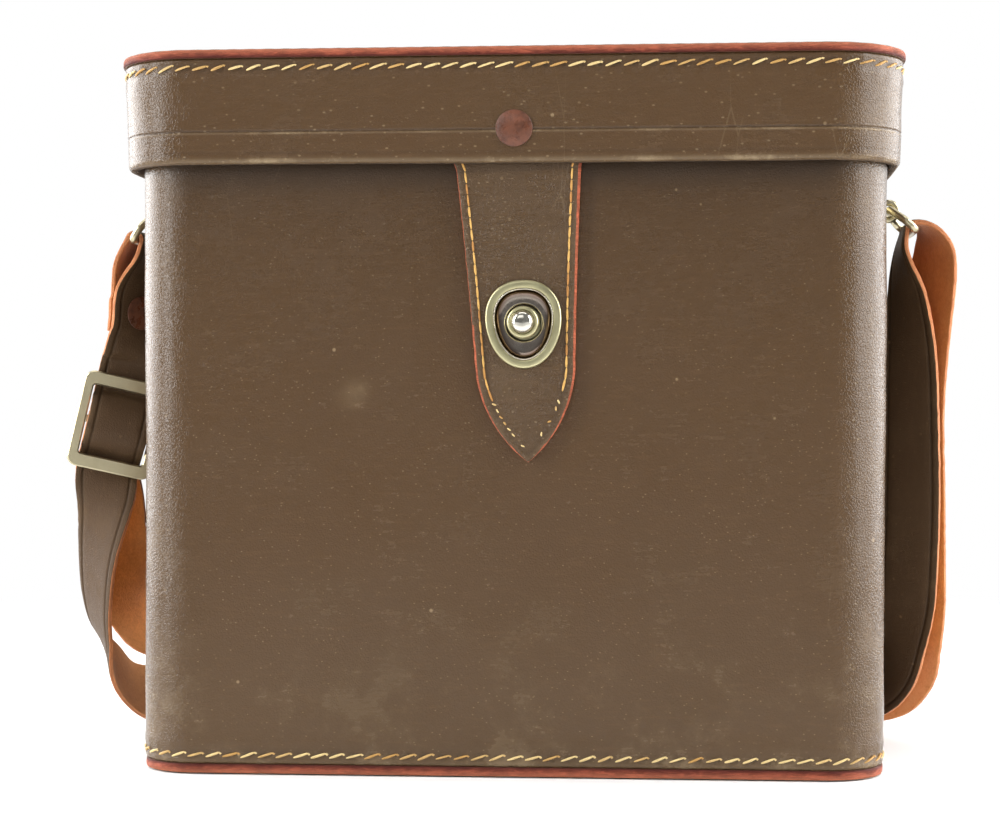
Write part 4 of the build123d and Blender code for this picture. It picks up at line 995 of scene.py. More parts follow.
def make_lid_skirt(sewing, tooling):
    """The lid's skirt, with its two tooled lines and its own row of stitches."""
    row = PANEL_BOTTOM + BASE_THICK - sewing.row / MM
    whole = ring_lengths(plan_ring(LID_GAP + SKIRT, CORNER))[1]
    pitch = even_pitch(whole, sewing.pitch)
    reference = ring_lengths(plan_ring(0, CORNER))[1]
    tall = PANEL_BOTTOM - LID_EDGE
    crease, lower_line = LID_EDGE + tooling.crease_rise / MM, LID_EDGE + 2.9
    wide, deep = tooling.crease_width / MM, tooling.crease_depth / MM

    def lean(z):
        return SKIRT_FLARE * (z - LID_EDGE) / tall

    outer = LID_GAP + SKIRT
    roll = 1.2
    profile = [(LID_GAP + 0.2, LID_EDGE, 1), (outer - roll, LID_EDGE, 1)]
    profile += [(outer - roll + roll * sin(a), LID_EDGE + roll - roll * cos(a), 0) for a in (0.5, 1.05)]
    heights = climb(LID_EDGE + roll, crease - 1.2, 14) + climb(crease - 1.2, crease + 1.2, 14)
    heights += climb(crease + 1.2, row - 3.6, 9) + climb(row - 3.6, PANEL_BOTTOM - 0.25, 11)
    profile += [(outer + lean(z), z, 0) for z in heights]
    profile += [(outer + lean(PANEL_BOTTOM) - 0.25, PANEL_BOTTOM, 1), (LID_GAP + 1, PANEL_BOTTOM, 1)]
    profile += [(LID_GAP + lean(z), z, 2) for z in (PANEL_BOTTOM - 1, 185, 175, LID_EDGE + 0.5)]

    def shape(x, y, z, nx, ny, way, part):
        corner = cornerness(nx, ny)
        up = 0.0
        if ny > 0.5 and abs(x) < 77.5 and z < LID_EDGE + 7:
            up = 4.0 * (1 - (z - LID_EDGE) / 7) * clamp((77.5 - abs(x)) / 1.3)
        if part == 2:
            return 0, up, 0.2, 0.2
        along = way * whole / reference
        low = z - row
        out = pucker(along, low, pitch) + groove(z - crease, wide, deep) + groove(z - lower_line, 0.5, 0.12)
        free = clamp((row - 3 - z) / 8) * clamp((z - crease + 6) / 10)
        out += dented(x, y, z, 0.3, 30.0, 11.0) * free * (1 - 0.6 * corner)
        if part == 1:
            out = 0.0
        if abs(x - RIVET_X) < 8 and ny < -0.5 and abs(z - RIVET_Z) < 8:
            out = min(out, 0.05)
        wave = 0.35 * noise.noise(Vector((x * 0.024, y * 0.03, 2.0)))
        wave *= exp(-(((z - LID_EDGE) / 5) ** 2)) * clamp((0.5 - ny) / 0.4)
        edge = exp(-((z - LID_EDGE) / 1.6) ** 2)
        wear = corner * (0.12 + 0.1 * noise.noise(Vector((x * 0.06, y * 0.06, z * 0.09)))) + 0.1 * edge
        # A painted highlight: a pale line just under the crease.
        wear += 0.6 * exp(-(((z - crease + 0.55) / 0.25) ** 2))
        # Painted shade in the crease, in the thin line above the lower edge, at the needle holes, along the stitch row
        # and a little more on the edge faces.
        line = exp(-(((z - crease) / (wide * 0.55)) ** 2))
        thin = 0.3 * exp(-(((z - lower_line) / 0.3) ** 2))
        # A painted highlight along the bulge of the lower edge.
        wear += 0.8 * exp(-(((z - LID_EDGE - 0.8) / 0.6) ** 2)) * (1 - 0.5 * corner)
        painted_shade = 0.75 * needle_hole(along, low, pitch) + 0.38 * line + thin + 0.2 * exp(-((low / 1.4) ** 2))
        return out, up + wave, clamp(wear), clamp(painted_shade + (0.3 if part == 1 else 0))

    return shell(
        "lid_skirt_leather",
        profile,
        [finish("brown grain"), finish("dark edge"), finish("rough inside")],
        "lid",
        shape,
        ["lid_skirt"],
    )


def make_panel(name, body, replaced, grow, inner_z, outer_z, seed, spacing):
    """An end panel: raw red edge, stitched rim and a slightly crowned face."""
    up = 1 if outer_z > inner_z else -1
    thick = abs(outer_z - inner_z)
    rings = [(-24, 0.0, 2), (-10, 0.0, 2), (-2.6, 0.0, 2), (0, 0.0, 1)]
    rings += [(0.12, thick * f, 1) for f in (0.15, 0.3, 0.45, 0.6, 0.75)]
    rings += [(0, thick - 0.42, 1), (-0.16, thick - 0.14, 0), (-0.55, thick, 0)]
    insets = (0.9, 1.6, 2.4, 3.0, 3.6, 4.2, 4.9, 5.8, 7.0, 8.5, 10.5, 13, 16.5, 21, 26, 32, 37)
    rings += [(-inset, thick, 0) for inset in insets]
    count = len(plan_ring(0, CORNER))
    way, whole = ring_lengths(plan_ring(0, CORNER))
    ring_whole = ring_lengths(plan_ring(grow - PANEL_ROW, CORNER))[1]
    pitch = even_pitch(ring_whole, spacing)
    skin, parts = Skin(), []
    for inset, height, part in rings:
        g = grow + inset
        for column, (x, y, nx, ny) in enumerate(plan_ring(g, max(CORNER, 1.5 - g) if -g > CORNER - 1.5 else CORNER)):
            z = height
            corner = cornerness(nx, ny)
            painted_shade = wear = 0.0
            if part == 0 and height > thick - 0.05:
                depth = -inset
                z += 0.3 * pucker(way[column] * ring_whole / whole, depth - PANEL_ROW, pitch) * 1.6
                z += dented(x, y, seed, 0.32, 42.0, seed) * clamp((depth - 6) / 8)
                # Painted shade along the drawn-in stitch row.
                painted_shade = 0.35 * exp(-(((depth - PANEL_ROW) / 1.2) ** 2))
                wear = 0.4 * exp(-((depth / 1.4) ** 2)) + 0.12 * clamp(noise.noise(Vector((x * 0.03, y * 0.04, seed))))
            elif part == 0:
                wear = 0.75
            if part == 1:
                # On the raw edge: a painted shadow line next to the wall or skirt, where the panel's edge overhangs,
                # some random darkening, and a painted highlight that pales the outer half.
                line = 0.75 + 0.45 * noise.noise(Vector((x * 0.11, y * 0.11, seed)))
                painted_shade = exp(-((height / max(0.2, line)) ** 2))
                painted_shade += 0.3 * clamp(noise.noise(Vector((x * 0.3, y * 0.3, height * 2))))
                wear = clamp(height / thick - 0.35) * 1.2
                jag = 0.14 * noise.noise(Vector((x * 0.22, y * 0.22, height * 0.9 + seed)))
                x, y = x + nx * jag, y + ny * jag
            wear = clamp(wear + 0.2 * corner * (part == 0))
            skin.add((x, y, inner_z + up * z), way[column], height - inset, wear, clamp(painted_shade))
        parts += [part] * count
    faces, fan_parts = disc_faces(skin, len(rings), count, 0.15, up < 0)
    materials = [finish("brown grain"), finish("rim edge"), finish("rough inside")]
    made = skin.piece(name, faces, materials, parts[:-count] + fan_parts)
    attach(made, body)
    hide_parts(*replaced)
    return made


def sew_panels(sewing):
    """The slanted rows round the base and the lid, on the walls and through the end panels' faces."""
    row = sewing.row / MM
    sizes = dict(length=sewing.stitch, thread=sewing.thread, slant=sewing.slant, loose=0.08)
    for name, body, grow, z, seed, hook in (
        ("stitches_base_wall", "case", 0.0, row, 3, 0.16),
        ("stitches_lid_wall", "lid", LID_GAP + SKIRT + 0.88, CASE_HEIGHT - row, 9, 0.1),
    ):
        ring = plan_ring(grow - 0.1, CORNER)
        pitch = even_pitch(ring_lengths(ring)[1], sewing.pitch) * MM
        path = [(x, y, z) for x, y, _, _ in ring]
        outward = [(nx, ny, 0) for _, _, nx, ny in ring]
        sew(name, path, outward, body, finish("thread"), True, pitch=pitch, seed=seed, hook=hook, **sizes)
    sizes.update(slant=0.0)
    for name, body, grow, z, up, seed in (
        ("stitches_base_face", "case", BASE_GROW - PANEL_ROW, 0.12, -1, 21),
        ("stitches_lid_face", "lid", LID_GROW - PANEL_ROW, CASE_HEIGHT - 0.1, 1, 33),
    ):
        ring = plan_ring(grow, CORNER)
        pitch = even_pitch(ring_lengths(ring)[1], sewing.pitch) * MM
        path = [(x, y, z) for x, y, _, _ in ring]
        sew(name, path, [(0, 0, up)] * len(path), body, finish("thread"), True, pitch=pitch, seed=seed, **sizes)


# ------------------------------------------------------------------ inside
def make_lining(name, body, replaced, grow, thick, low, high, finish_name):
    """A soft lining that follows the inside of a wall."""
    profile = [(grow, z, 0) for z in climb(low, high, 12)] + [(grow, high, 0), (grow - thick, high, 0)]
    profile += [(grow - thick, z, 0) for z in climb(high - 0.8, low, 16)] + [(grow - thick, low, 0)]
    return shell(name, profile, [finish(finish_name)], body, lambda *_: (0.0, 0.0, 0.0, 0.0), replaced)


def make_slab(name, body, replaced, grow, low, high, crown, seed, soft=1.0):
    """A felt pad that follows the plan, with a rounded rim and a crowned face towards its high side."""
    up = 1 if high > low else -1
    thick = abs(high - low)
    rings = [(-30, 0.0), (-12, 0.0), (-0.3 * soft, 0.0), (0, 0.25 * thick), (0, 0.6 * thick)]
    rings += [(-soft * (1 - cos(a)), thick - soft * 0.9 * (1 - sin(a))) for a in (0.4, 0.8, 1.2, 1.5708)]
    rings += [(-g, thick) for g in (2.5, 4.5, 7, 10, 14, 19, 25, 31, 37)]
    count = len(plan_ring(0, CORNER))
    skin = Skin()
    for inset, height in rings:
        g = grow + inset
        for x, y, _, _ in plan_ring(g, CORNER if -g < CORNER - 1.5 else 1.5 - g):
            z = height
            if height > thick * 0.8:
                uneven = dented(x, y, seed, 0.12 * crown + 0.02, 20.0, seed) * min(1, -inset / 6)
                z += crown * (1 - exp(-((inset / 6.0) ** 2))) + uneven
            skin.add((x, y, low + up * z), 0, 0, 0.1, 0.0)
    faces, _ = disc_faces(skin, len(rings), count, 0.1, up < 0)
    made = skin.piece(name, faces, [finish("felt")], mapped=False)
    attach(made, body)
    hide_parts(*replaced)
    return made


# ------------------------------------------------------------------ tab
TAB_LEAN = radians(1.9)
TAB_X = 3.4
RIVET_X = 2.8
RIVET_Z = 175.7
TAB_ACROSS = Vector((cos(TAB_LEAN), 0, sin(TAB_LEAN)))
TAB_UP = Vector((-sin(TAB_LEAN), 0, cos(TAB_LEAN)))
TAB_TIP = -90.2
TAB_WAIST = -66.2
TAB_FACE = -47.1
TAB_INSIDE = -45.2
LATCH_AT = -52.8


def on_tab(across, up, y):
    """A point in the tab's leaning plane, from the lid's rivet."""
    return Vector((TAB_X, y, RIVET_Z)) + TAB_ACROSS * across + TAB_UP * up


def tab_half(up):
    """Half of the tab's width at that place along it."""
    if up > -10.4:
        return 17.0 + clamp((up + 10.4) / 2.4) * 0.8
    if up > TAB_WAIST:
        t = (up + 10.4) / (TAB_WAIST + 10.4)
        return 17.0 - 3.5 * t - 0.25 * sin(pi * t)
    ax, ay, bx, by, cx, cy = 13.5, TAB_WAIST, 8.91, (TAB_WAIST + TAB_TIP * 1.35) / 2.35, 0.0, TAB_TIP
    d = 2 * (ax * (by - cy) + bx * (cy - ay) + cx * (ay - by))
    a2, b2, c2 = ax * ax + ay * ay, bx * bx + by * by, cx * cx + cy * cy
    ux = (a2 * (by - cy) + b2 * (cy - ay) + c2 * (ay - by)) / d
    uy = (a2 * (cx - bx) + b2 * (ax - cx) + c2 * (bx - ax)) / d
    reach = (ax - ux) ** 2 + (ay - uy) ** 2 - (up - uy) ** 2
    return max(0.0, ux + sqrt(max(0.0, reach)))


def tab_rows():
    """Heights along the tab, close together where it bends and at its tip."""
    rows = climb(7.0, -8.0, 8) + climb(-8.0, -14.0, 10) + climb(-14.0, TAB_WAIST, 42) + climb(TAB_WAIST, -84.0, 16)
    return rows + climb(-84.0, TAB_TIP + 0.6, 9) + [TAB_TIP + 0.6, TAB_TIP + 0.25, TAB_TIP + 0.06]


EGG_POINTS = 96


def egg(grow):
    """The latch's outline round its middle, anticlockwise from the right as seen from the front, as (across, up)."""
    half, tall, lift = 10.4, 24.0, 1.9
    points = []
    for k in range(EGG_POINTS):
        c, s = cos(2 * pi * k / EGG_POINTS), sin(2 * pi * k / EGG_POINTS)
        full = 0.86 if s >= 0 else 0.98
        x = half * abs(c) ** full * (1 if c >= 0 else -1)
        y = lift + s * (tall / 2 - lift if s >= 0 else tall / 2 + lift)
        points.append((x, y))
    if not grow:
        return points
    grown = []
    for k, (x, y) in enumerate(points):
        a, b = points[k - 1], points[(k + 1) % EGG_POINTS]
        tx, ty = b[0] - a[0], b[1] - a[1]
        size = hypot(tx, ty)
        grown.append((x + grow * ty / size, y - grow * tx / size))
    return grown


def make_tab_leather():
    """The tab's two plies as one strip, from under the skirt to its point, with its opening for the latch."""
    rows = tab_rows()
    halves = (0.17, 0.34, 0.5, 0.66, 0.8, 0.9, 0.955, 0.985, 1.0)
    face = [-t for t in reversed(halves)] + [0, *halves]
    section = [(t, 1) for t in face] + [(t, 0) for t in reversed(face[1:-1])]
    count = len(section)
    skin = Skin()
    for up in rows:
        half = tab_half(up)
        way_to_tip = abs(up - TAB_TIP)
        for t, front in section:
            edge = (1 - abs(t)) * half
            jag = 0.14 * noise.noise(Vector((t * 3, up * 0.33, 5))) * clamp(-up / 10)
            across = t * half + (jag * t if abs(t) > 0.95 else 0)
            near = min(edge, way_to_tip)
            thin = 0.34 * exp(-((near / 0.7) ** 2))
            outer = TAB_FACE + thin
            inner = (TAB_INSIDE if up < -12.2 else TAB_INSIDE - 0.6) - thin * 0.4
            if -12.2 <= up < -10.6:
                inner = TAB_INSIDE - 0.6 * clamp((up + 12.2) / 1.4)
            if front:
                y = outer - 0.16 * exp(-(((near - 1.15) / 0.7) ** 2)) + 0.2 * exp(-(((near - 2.4) / 0.8) ** 2))
                y += 0.12 * noise.noise(Vector((t * 2.1, up * 0.06, 1)))
                y = min(y, -46.0)
                if up > -9:
                    y = TAB_FACE + 0.05
            else:
                y = inner
            if abs(t) == 1.0 and front:
                y = (outer + inner) / 2
            stitch = exp(-(((near - 2.4) / 0.6) ** 2))
            rubbed = 0.18 * exp(-((near / 1.3) ** 2)) + 0.15 * clamp(noise.noise(Vector((t, up * 0.08, 9))))
            # Painted shade along the stitch rows and on the root that sits under the skirt.
            painted_shade = clamp(0.3 * stitch * clamp(-up / 6) + (0.45 if up > -11.5 else 0) * 0.8)
            skin.add(on_tab(across, up, y), across, up, clamp(rubbed if front else 0.5), painted_shade)
    last = len(face) - 1

    def part_of(column, row):
        up = rows[row]
        right = last - (4 if up < -85 else 3) < column < last
        left = column < (1 if up > -52 else 2 if up > -85 else 3)
        if right or left or column in (last, count - 1):
            return 1
        return 0 if column < last else 2

    faces, parts = strip_faces(len(rows), count, part_of, clockwise=True)
    materials = [finish("tab grain"), finish("tab edge"), finish("rough inside")]
    made = skin.piece("tab_leather_plies", faces, materials, parts)
    mesh = made.data
    top = (len(rows) - 1) * count
    for polygon in mesh.polygons:
        if all(v >= top - count for v in polygon.vertices) and polygon.material_index == 0:
            polygon.material_index = 1
    ring = egg(-2.3 + 0.35)
    n = len(ring)
    tool = [on_tab(x, LATCH_AT + up, y) for y in (-50.0, -42.0) for x, up in ring]
    tool_faces = [(k, k + n, (k + 1) % n + n, (k + 1) % n) for k in range(n)]
    tool_faces += [tuple(range(n)), tuple(reversed(range(n, 2 * n)))]
    cutter = place_mesh("tab_opening_tool", tool, tool_faces, [finish("cut edge")], smooth=False)
    opening = made.modifiers.new("Opening", "BOOLEAN")
    opening.operation = "DIFFERENCE"
    opening.solver = "EXACT"
    opening.object = cutter
    cut_mesh = bpy.data.meshes.new_from_object(made.evaluated_get(bpy.context.evaluated_depsgraph_get()))
    made.modifiers.clear()
    made.data = cut_mesh
    bpy.data.objects.remove(cutter)
    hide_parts("tab_leather", "tab_lining", "tab_root", "tab_fold")
    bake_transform(made)


def sew_tab(sewing):
    """Straight stitches down both edges of the tab, worn to short ends near its point."""
    inset = sewing.tab_row / MM
    for side, turn, seed in ((-1, -72.0, 4), (1, -70.0, 8)):
        sound, worn, up = [], [], -9.4
        while up > TAB_TIP + 4.2:
            reach = max(0.8, tab_half(up) - inset * (1 + 0.45 * clamp((-66 - up) / 18)))
            (sound if up > turn else worn).append(on_tab(side * reach, up, TAB_FACE + 0.1))
            up -= 0.7
        word = "left" if side < 0 else "right"
        for name, path, part, missing, loose, thread in (
            ("stitches_tab_" + word, sound, 1.16, 0.0, 0.03, 0.62),
            ("stitches_tab_worn_" + word, worn, 0.42, 0.25, 0.8, 0.5),
        ):
            made = sew(
                name,
                path,
                [(0, -1, 0)] * len(path),
                None,
                finish("gold thread" if part > 1 else "thread"),
                pitch=sewing.tab_pitch * (1.0 if part > 1 else 0.6),
                length=sewing.tab_pitch * part,
                thread=thread * MM,
                slant=0.0,
                loose=loose,
                missing=missing,
                seed=seed,
            )
            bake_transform(made)


# ------------------------------------------------------------------ latch and stud
STUD = Vector((TAB_X + sin(TAB_LEAN) * (RIVET_Z - 123.4), 0, 123.4))


def rings_on_tab(rings, name, material):
    """A closed shell of rings on the tab: (grow or points, y, painted shade), from the back round to the face's middle.
    """
    skin = Skin()
    for grow, y, dark in rings:
        for x, up in grow if isinstance(grow, list) else egg(grow):
            skin.add(on_tab(x, LATCH_AT + up, y), 0, 0, 0.2, dark)
    return skin.piece(name, grid_faces(len(rings), EGG_POINTS, wrap_rows=True), [material], mapped=False)


def hole_ring(radius):
    """The stud's round hole, as a ring that matches the egg's points."""
    dx, dz = STUD.x - TAB_X, STUD.z - RIVET_Z
    middle = (dx * TAB_ACROSS.x + dz * TAB_ACROSS.z, dx * TAB_UP.x + dz * TAB_UP.z - LATCH_AT)
    turns = [2 * pi * k / EGG_POINTS for k in range(EGG_POINTS)]
    return [(middle[0] + radius * cos(a), middle[1] + radius * sin(a)) for a in turns]


def make_latch():
    """The egg-shaped latch plate with its polished dish."""
    face, back = -48.3, -47.1
    # The third numbers are painted shade at the plate's edges and its back.
    frame_rings = [(-0.1, back, 0.7), (0, back - 0.25, 0.4), (0, face + 0.55, 0.1), (-0.13, face + 0.24, 0)]
    frame_rings += [(-0.38, face + 0.05, 0), (-0.7, face, 0), (-1.3, face - 0.02, 0), (-1.9, face, 0)]
    frame_rings += [(-2.12, face + 0.06, 0), (-2.24, face + 0.2, 0), (-2.3, face + 0.42, 0.3), (-2.3, back, 0.7)]
    plate = rings_on_tab(frame_rings, "latch_plate", finish("satin nickel"))
    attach(plate, "tab")
    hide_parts("latch_frame")
    rim = face + 0.26
    # The third numbers paint the polished dish dark: a painted dark reflection inside it and round the stud's hole.
    dish = [(-2.42, -46.3, 0.5), (-2.31, rim + 0.2, 0.0), (-2.33, rim - 0.12, 0), (-2.46, rim - 0.24, 0)]
    dish += [(-2.66, rim - 0.14, 0), (-2.78, rim + 0.1, 0.5), (-2.9, rim + 0.5, 0.9), (-3.2, rim + 0.9, 0.92)]
    dish += [(-3.7, rim + 1.15, 0.85), (-4.3, rim + 1.26, 0.7), (-4.7, rim + 1.3, 0.55)]
    for radius, y, dark in ((5.5, -46.72, 0.5), (5.12, -46.74, 0.3), (5.05, -46.6, 0.8), (5.05, -46.3, 0.9)):
        dish.append((hole_ring(radius), y, dark))
    cup = rings_on_tab(dish, "latch_dish", finish("dish nickel"))
    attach(cup, "tab")
    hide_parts("latch_cup")


def make_stud():
    """The stud's barrel with its groove and rolled lip, and the domed button in it."""
    out = axes((STUD.x, FRONT, STUD.z), (1, 0, 0), (0, -1, 0))
    profile = [(0, 0.95), (3.1, 0.95), (3.5, 1.0), (3.5, 4.9), (3.45, 5.1), (3.25, 5.2), (3.2, 5.55), (3.28, 5.8)]
    profile += [(3.45, 5.95), (3.7, 6.0), (3.95, 5.93), (4.2, 5.72), (4.36, 5.4), (4.4, 5.0), (4.4, 1.5), (4.2, 1.3)]
    profile += [(3.92, 1.25), (3.9, 0.4), (4.0, 0.3), (4.6, 0.3), (4.82, 0.2), (4.85, 0.02), (0, 0.02)]
    profile.reverse()

    def lip_shade(radius):
        return 0.35 * exp(-(((radius - 3.3) / 0.12) ** 2))

    def crown_shade(radius):
        return 0.3 * exp(-((radius / 1.3) ** 4))

    barrel = revolved("stud_barrel_turned", profile, out, finish("satin nickel"), "case", 56, lambda r: 0.2, lip_shade)
    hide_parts("stud_barrel")
    cap = [(0, 3.95), (3.3, 3.95), (3.38, 4.05), (3.38, 4.98), (3.3, 5.1), (3.16, 5.12), (3.15, 5.5), (3.15, 6.3)]
    cap += [(3.12, 6.7), (3.02, 7.1), (2.84, 7.52), (2.56, 7.9), (2.18, 8.2), (1.7, 8.42), (1.18, 8.54)]
    cap += [(0.6, 8.59), (0, 8.6)]
    knob = revolved("stud_button_domed", cap, out, finish("bright nickel"), "button", 48, lambda r: 0.2, crown_shade)
    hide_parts("button")
    low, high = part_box("button_spring")
    middle, wire, turns, squeezed = (Vector(low) + Vector(high)) / 2 / MM, 0.2, 3.5, 1.5
    reach = (high[0] - low[0]) / 2 / MM - wire
    start, stop = high[1] / MM - wire, low[1] / MM + wire
    points, steps, sides = [], 90, 8
    for k in range(steps + 1):
        angle = 2 * pi * turns * k / steps
        out = Vector((cos(angle), 0, sin(angle)))
        core = Vector((middle.x, start + (stop - start) * k / steps, middle.z)) + out * reach
        for a in (2 * pi * n / sides for n in range(sides)):
            points.append(core + (out * cos(a) + Vector((0, 1, 0)) * sin(a)) * wire)
    faces = strip_faces(steps + 1, sides, lambda column, row: 0)[0]
    spring = place_mesh("button_coil_spring", points, faces, [finish("steel")])
    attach(spring, "case")
    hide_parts("button_spring")
    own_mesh(spring)


def make_rivet(name, body, place, radius, rise, lift):
    """A domed rivet head with a worn rim."""
    profile = [(0, -0.5), (radius * 0.8, -0.5), (radius * 0.93, -0.3), (radius, 0.0), (radius * 0.995, 0.22 * rise)]
    for t in (0.97, 0.93, 0.87, 0.78, 0.66, 0.52, 0.36, 0.18):
        profile.append((radius * t, rise * (0.2 + 0.8 * (1 - t**2.4))))
    profile = [(r, height + lift) for r, height in [*profile, (0, rise)]]

    def rim_wear(r):
        return clamp(0.2 + 0.35 * exp(-(((r / radius - 0.97) / 0.09) ** 2)))

    made = revolved(name, profile, place, finish("lacquer"), body, 48, rim_wear, lambda r: 0.0)
    return made


# ------------------------------------------------------------------ strap
STRAP_WIDE = 18.0
STRAP_THICK = 1.9
FINISHED_THICK = 1.5
SKIVED = 1.2
LUG_Z = 157.0
LUG_OUT = 3.9
RING_REACH = 9.0
RING_WIRE = 2.2
DROOP = {-1: radians(58), 1: radians(42)}
SLIDE_CENTRE = Vector((-118.6, -1.0, 95.4))
TURN, TILT = radians(73), radians(13)
SLIDE_LEVEL = Vector((sin(TURN), cos(TURN), 0))
SLIDE_ACROSS = SLIDE_LEVEL * cos(TILT) - Vector((0, 0, 1)) * sin(TILT)
SLIDE_UP = SLIDE_LEVEL * sin(TILT) + Vector((0, 0, 1)) * cos(TILT)
SLIDE_FRONT = SLIDE_ACROSS.cross(SLIDE_UP)


def on_slide(up, front, thick=STRAP_THICK):
    """A station of the strap by its place on the slide."""
    return (SLIDE_CENTRE + SLIDE_UP * up + SLIDE_FRONT * front, SLIDE_ACROSS, thick)


def turned(x, y, z, degrees):
    """A level station of the strap, turned about the upright."""
    return (Vector((x, y, z)), Vector((sin(radians(degrees)), cos(radians(degrees)), 0)), STRAP_THICK)


def slanted(x, y, z, wide_x, wide_y, wide_z):
    """A station of the strap whose way across is given."""
    return (Vector((x, y, z)), Vector((wide_x, wide_y, wide_z)).normalized(), STRAP_THICK)


def stations_at(*rows):
    """Stations from rows of numbers: x, y, z and a turn in degrees, or x, y, z and the way across."""
    return [turned(*row) if len(row) == 4 else slanted(*row) for row in rows]


def ring_bar(side):
    """Middle of a ring's outer bar, as x and z."""
    return side * (HALF_W + LUG_OUT + RING_REACH * cos(DROOP[side])), LUG_Z - RING_REACH * sin(DROOP[side])


def round_ring(side, start, stop, count):
    """Stations where the strap bends round a ring's outer bar, by angle in degrees."""
    bar_x, bar_z = ring_bar(side)
    reach = RING_WIRE / 2 + 0.15 + STRAP_THICK / 2
    made = []
    for step in range(count):
        angle = radians(start + (stop - start) * step / (count - 1))
        made.append(turned(bar_x + side * reach * cos(angle), 0, bar_z + reach * sin(angle), 90 + 90 * side))
    return made


def strap_stations():
    """The strap's middle line from its riveted loop on the left, round behind the case and back to the slide."""
    left_turn = stations_at(
        (-114.45, 1.7, 123.2, 42), (-114.1, 1.35, 128.5, 40), (-114.3, 1.6, 133.6, 37),
        (-115.6, 1.2, 138.6, 20), (-115.6, 0.4, 143.6, 11),
    )
    left_arm = stations_at(
        (-110.2, 0.0, 143.6, 8), (-111.4, 0.0, 138.0, 27), (-112.2, 0.0, 133.6, 38), (-112.5, 0.0, 128.5, 40),
        (-112.9, 0.0, 123.2, 42), (-113.7, -0.3, 117.5, 60),
    )
    places = ((19.0, -2.4), (14.3, -2.25), (10.6, -2.25), (8.8, -2.0), (6.5, 0.5), (4.4, 2.8), (1.9, 3.8))
    places += ((-1.9, 3.8), (-4.4, 2.8), (-6.5, 0.5), (-8.8, -2.0), (-10.6, -2.25), (-14.3, -2.25))
    through_slide = [on_slide(*place) for place in places]
    left_outer = stations_at(
        (-122.5, 0.1, 76.0, 90), (-123.6, 1.2, 69.0, 111), (-125.7, 3.0, 57.5, 128), (-126.8, 5.5, 44.3, 139),
        (-126.4, 9.5, 33.0, 152), (-124.0, 16.0, 22.8, 0.12, -0.90, -0.38),
        (-120.0, 27.0, 14.0, 0.20, -0.62, -0.75), (-113.0, 41.0, 10.6, 0.18, -0.26, -0.95),
        (-99.0, 53.5, 10.3, 0.05, -0.06, -1.0), (-75.0, 60.0, 10.2, 0.0, -0.04, -1.0),
    )
    back_outer = stations_at(
        (-45.0, 62.5, 10.2, 0.0, -0.04, -1.0), (-10.0, 64.5, 10.2, 0.0, -0.04, -1.0),
        (30.0, 64.0, 10.2, 0.0, -0.04, -1.0), (65.0, 62.8, 10.3, 0.0, -0.04, -1.0),
        (85.0, 60.2, 10.4, 0.02, -0.08, -0.99),
    )
    right_outer = stations_at(
        (101.0, 54.5, 11.2, 0.10, -0.22, -0.97), (112.5, 42.5, 15.0, 0.35, -0.38, -0.86),
        (116.8, 29.5, 23.5, 0.60, -0.50, -0.62), (116.8, 18.0, 34.0, 0.70, -0.60, -0.38),
        (116.0, 10.0, 46.0, 124), (115.4, 5.5, 60.0, 121), (115.1, 3.2, 76.0, 121), (115.0, 2.4, 98.0, 125),
        (116.5, 2.6, 115.0, 130), (118.2, 2.3, 127.0, 135), (119.7, 1.5, 138.0, 140), (120.1, 0.8, 145.5, 149),
        (118.6, 0.2, 150.4, 163), (116.2, 0.0, 152.9, 176),
    )
    right_inner = stations_at(
        (110.5, 0.0, 145.6, 175), (110.9, 0.0, 139.9, 164), (111.9, 0.0, 134.0, 152), (112.6, 0.0, 126.0, 142),
        (113.1, 0.0, 115.7, 132), (113.2, 0.0, 104.0, 126), (113.2, 0.0, 90.0, 122), (113.1, 0.2, 73.0, 118),
        (112.8, 2.0, 59.0, 117), (112.4, 6.0, 45.5, 118), (111.3, 13.0, 34.0, 0.78, -0.40, -0.48),
        (110.3, 24.0, 23.5, 0.60, -0.38, -0.70), (106.2, 37.0, 15.8, 0.35, -0.30, -0.89),
        (97.0, 46.5, 12.0, 0.15, -0.18, -0.97), (80.0, 50.0, 10.8, 0.0, -0.05, -1.0),
    )
    back_inner = stations_at(
        (50.0, 50.6, 11.6, 0.0, 0.06, -1.0), (20.0, 51.6, 16.0, 0.0, 0.36, -0.93),
        (-15.0, 53.8, 22.0, 0.0, 0.78, -0.62), (-48.0, 55.6, 24.6, 0.0, 0.96, -0.28),
        (-75.0, 57.0, 24.0, 0.04, 0.99, -0.10), (-97.0, 57.4, 24.4, 0.10, 0.99, 0.06),
    )
    left_inner = stations_at(
        (-111.5, 54.0, 27.0, 0.16, 0.97, 0.16), (-119.8, 43.4, 31.5, 0.38, 0.88, 0.28),
        (-122.6, 33.5, 38.5, 0.54, 0.80, 0.25), (-123.4, 25.0, 46.0, 0.72, 0.66, 0.18),
        (-123.3, 18.0, 56.0, 0.90, 0.40, 0.08), (-122.8, 12.6, 65.0, 87), (-122.9, 9.9, 72.5, 82),
        (-123.2, 6.9, 78.0, 78),
    )
    under_slide = [on_slide(-13.6, -5.5), on_slide(-10.0, -4.9, 1.7), on_slide(-6.2, -3.6, 1.4)]
    under_slide.append(on_slide(-3.4, -1.9, SKIVED))
    reach = sqrt(2.2**2 + 1.5**2) / 2 + SKIVED / 2
    angles = [radians(-25 + step * 30) for step in range(9)]
    round_bar = [on_slide(-reach * cos(angle), reach * sin(angle), SKIVED) for angle in angles]
    round_bar += [on_slide(-1.2, -3.2, SKIVED), on_slide(-4.6, -4.4, SKIVED), on_slide(-9.2, -7.0, SKIVED)]

    def end_station(station, following):
        place, way, thick = station
        along = (following[0] - place).normalized()
        behind = way.cross(along).normalized() * ((thick + SKIVED) / 2 + 0.3)
        if behind.dot(SLIDE_FRONT) > 0:
            behind = behind * -1
        return (place + behind, way, SKIVED)

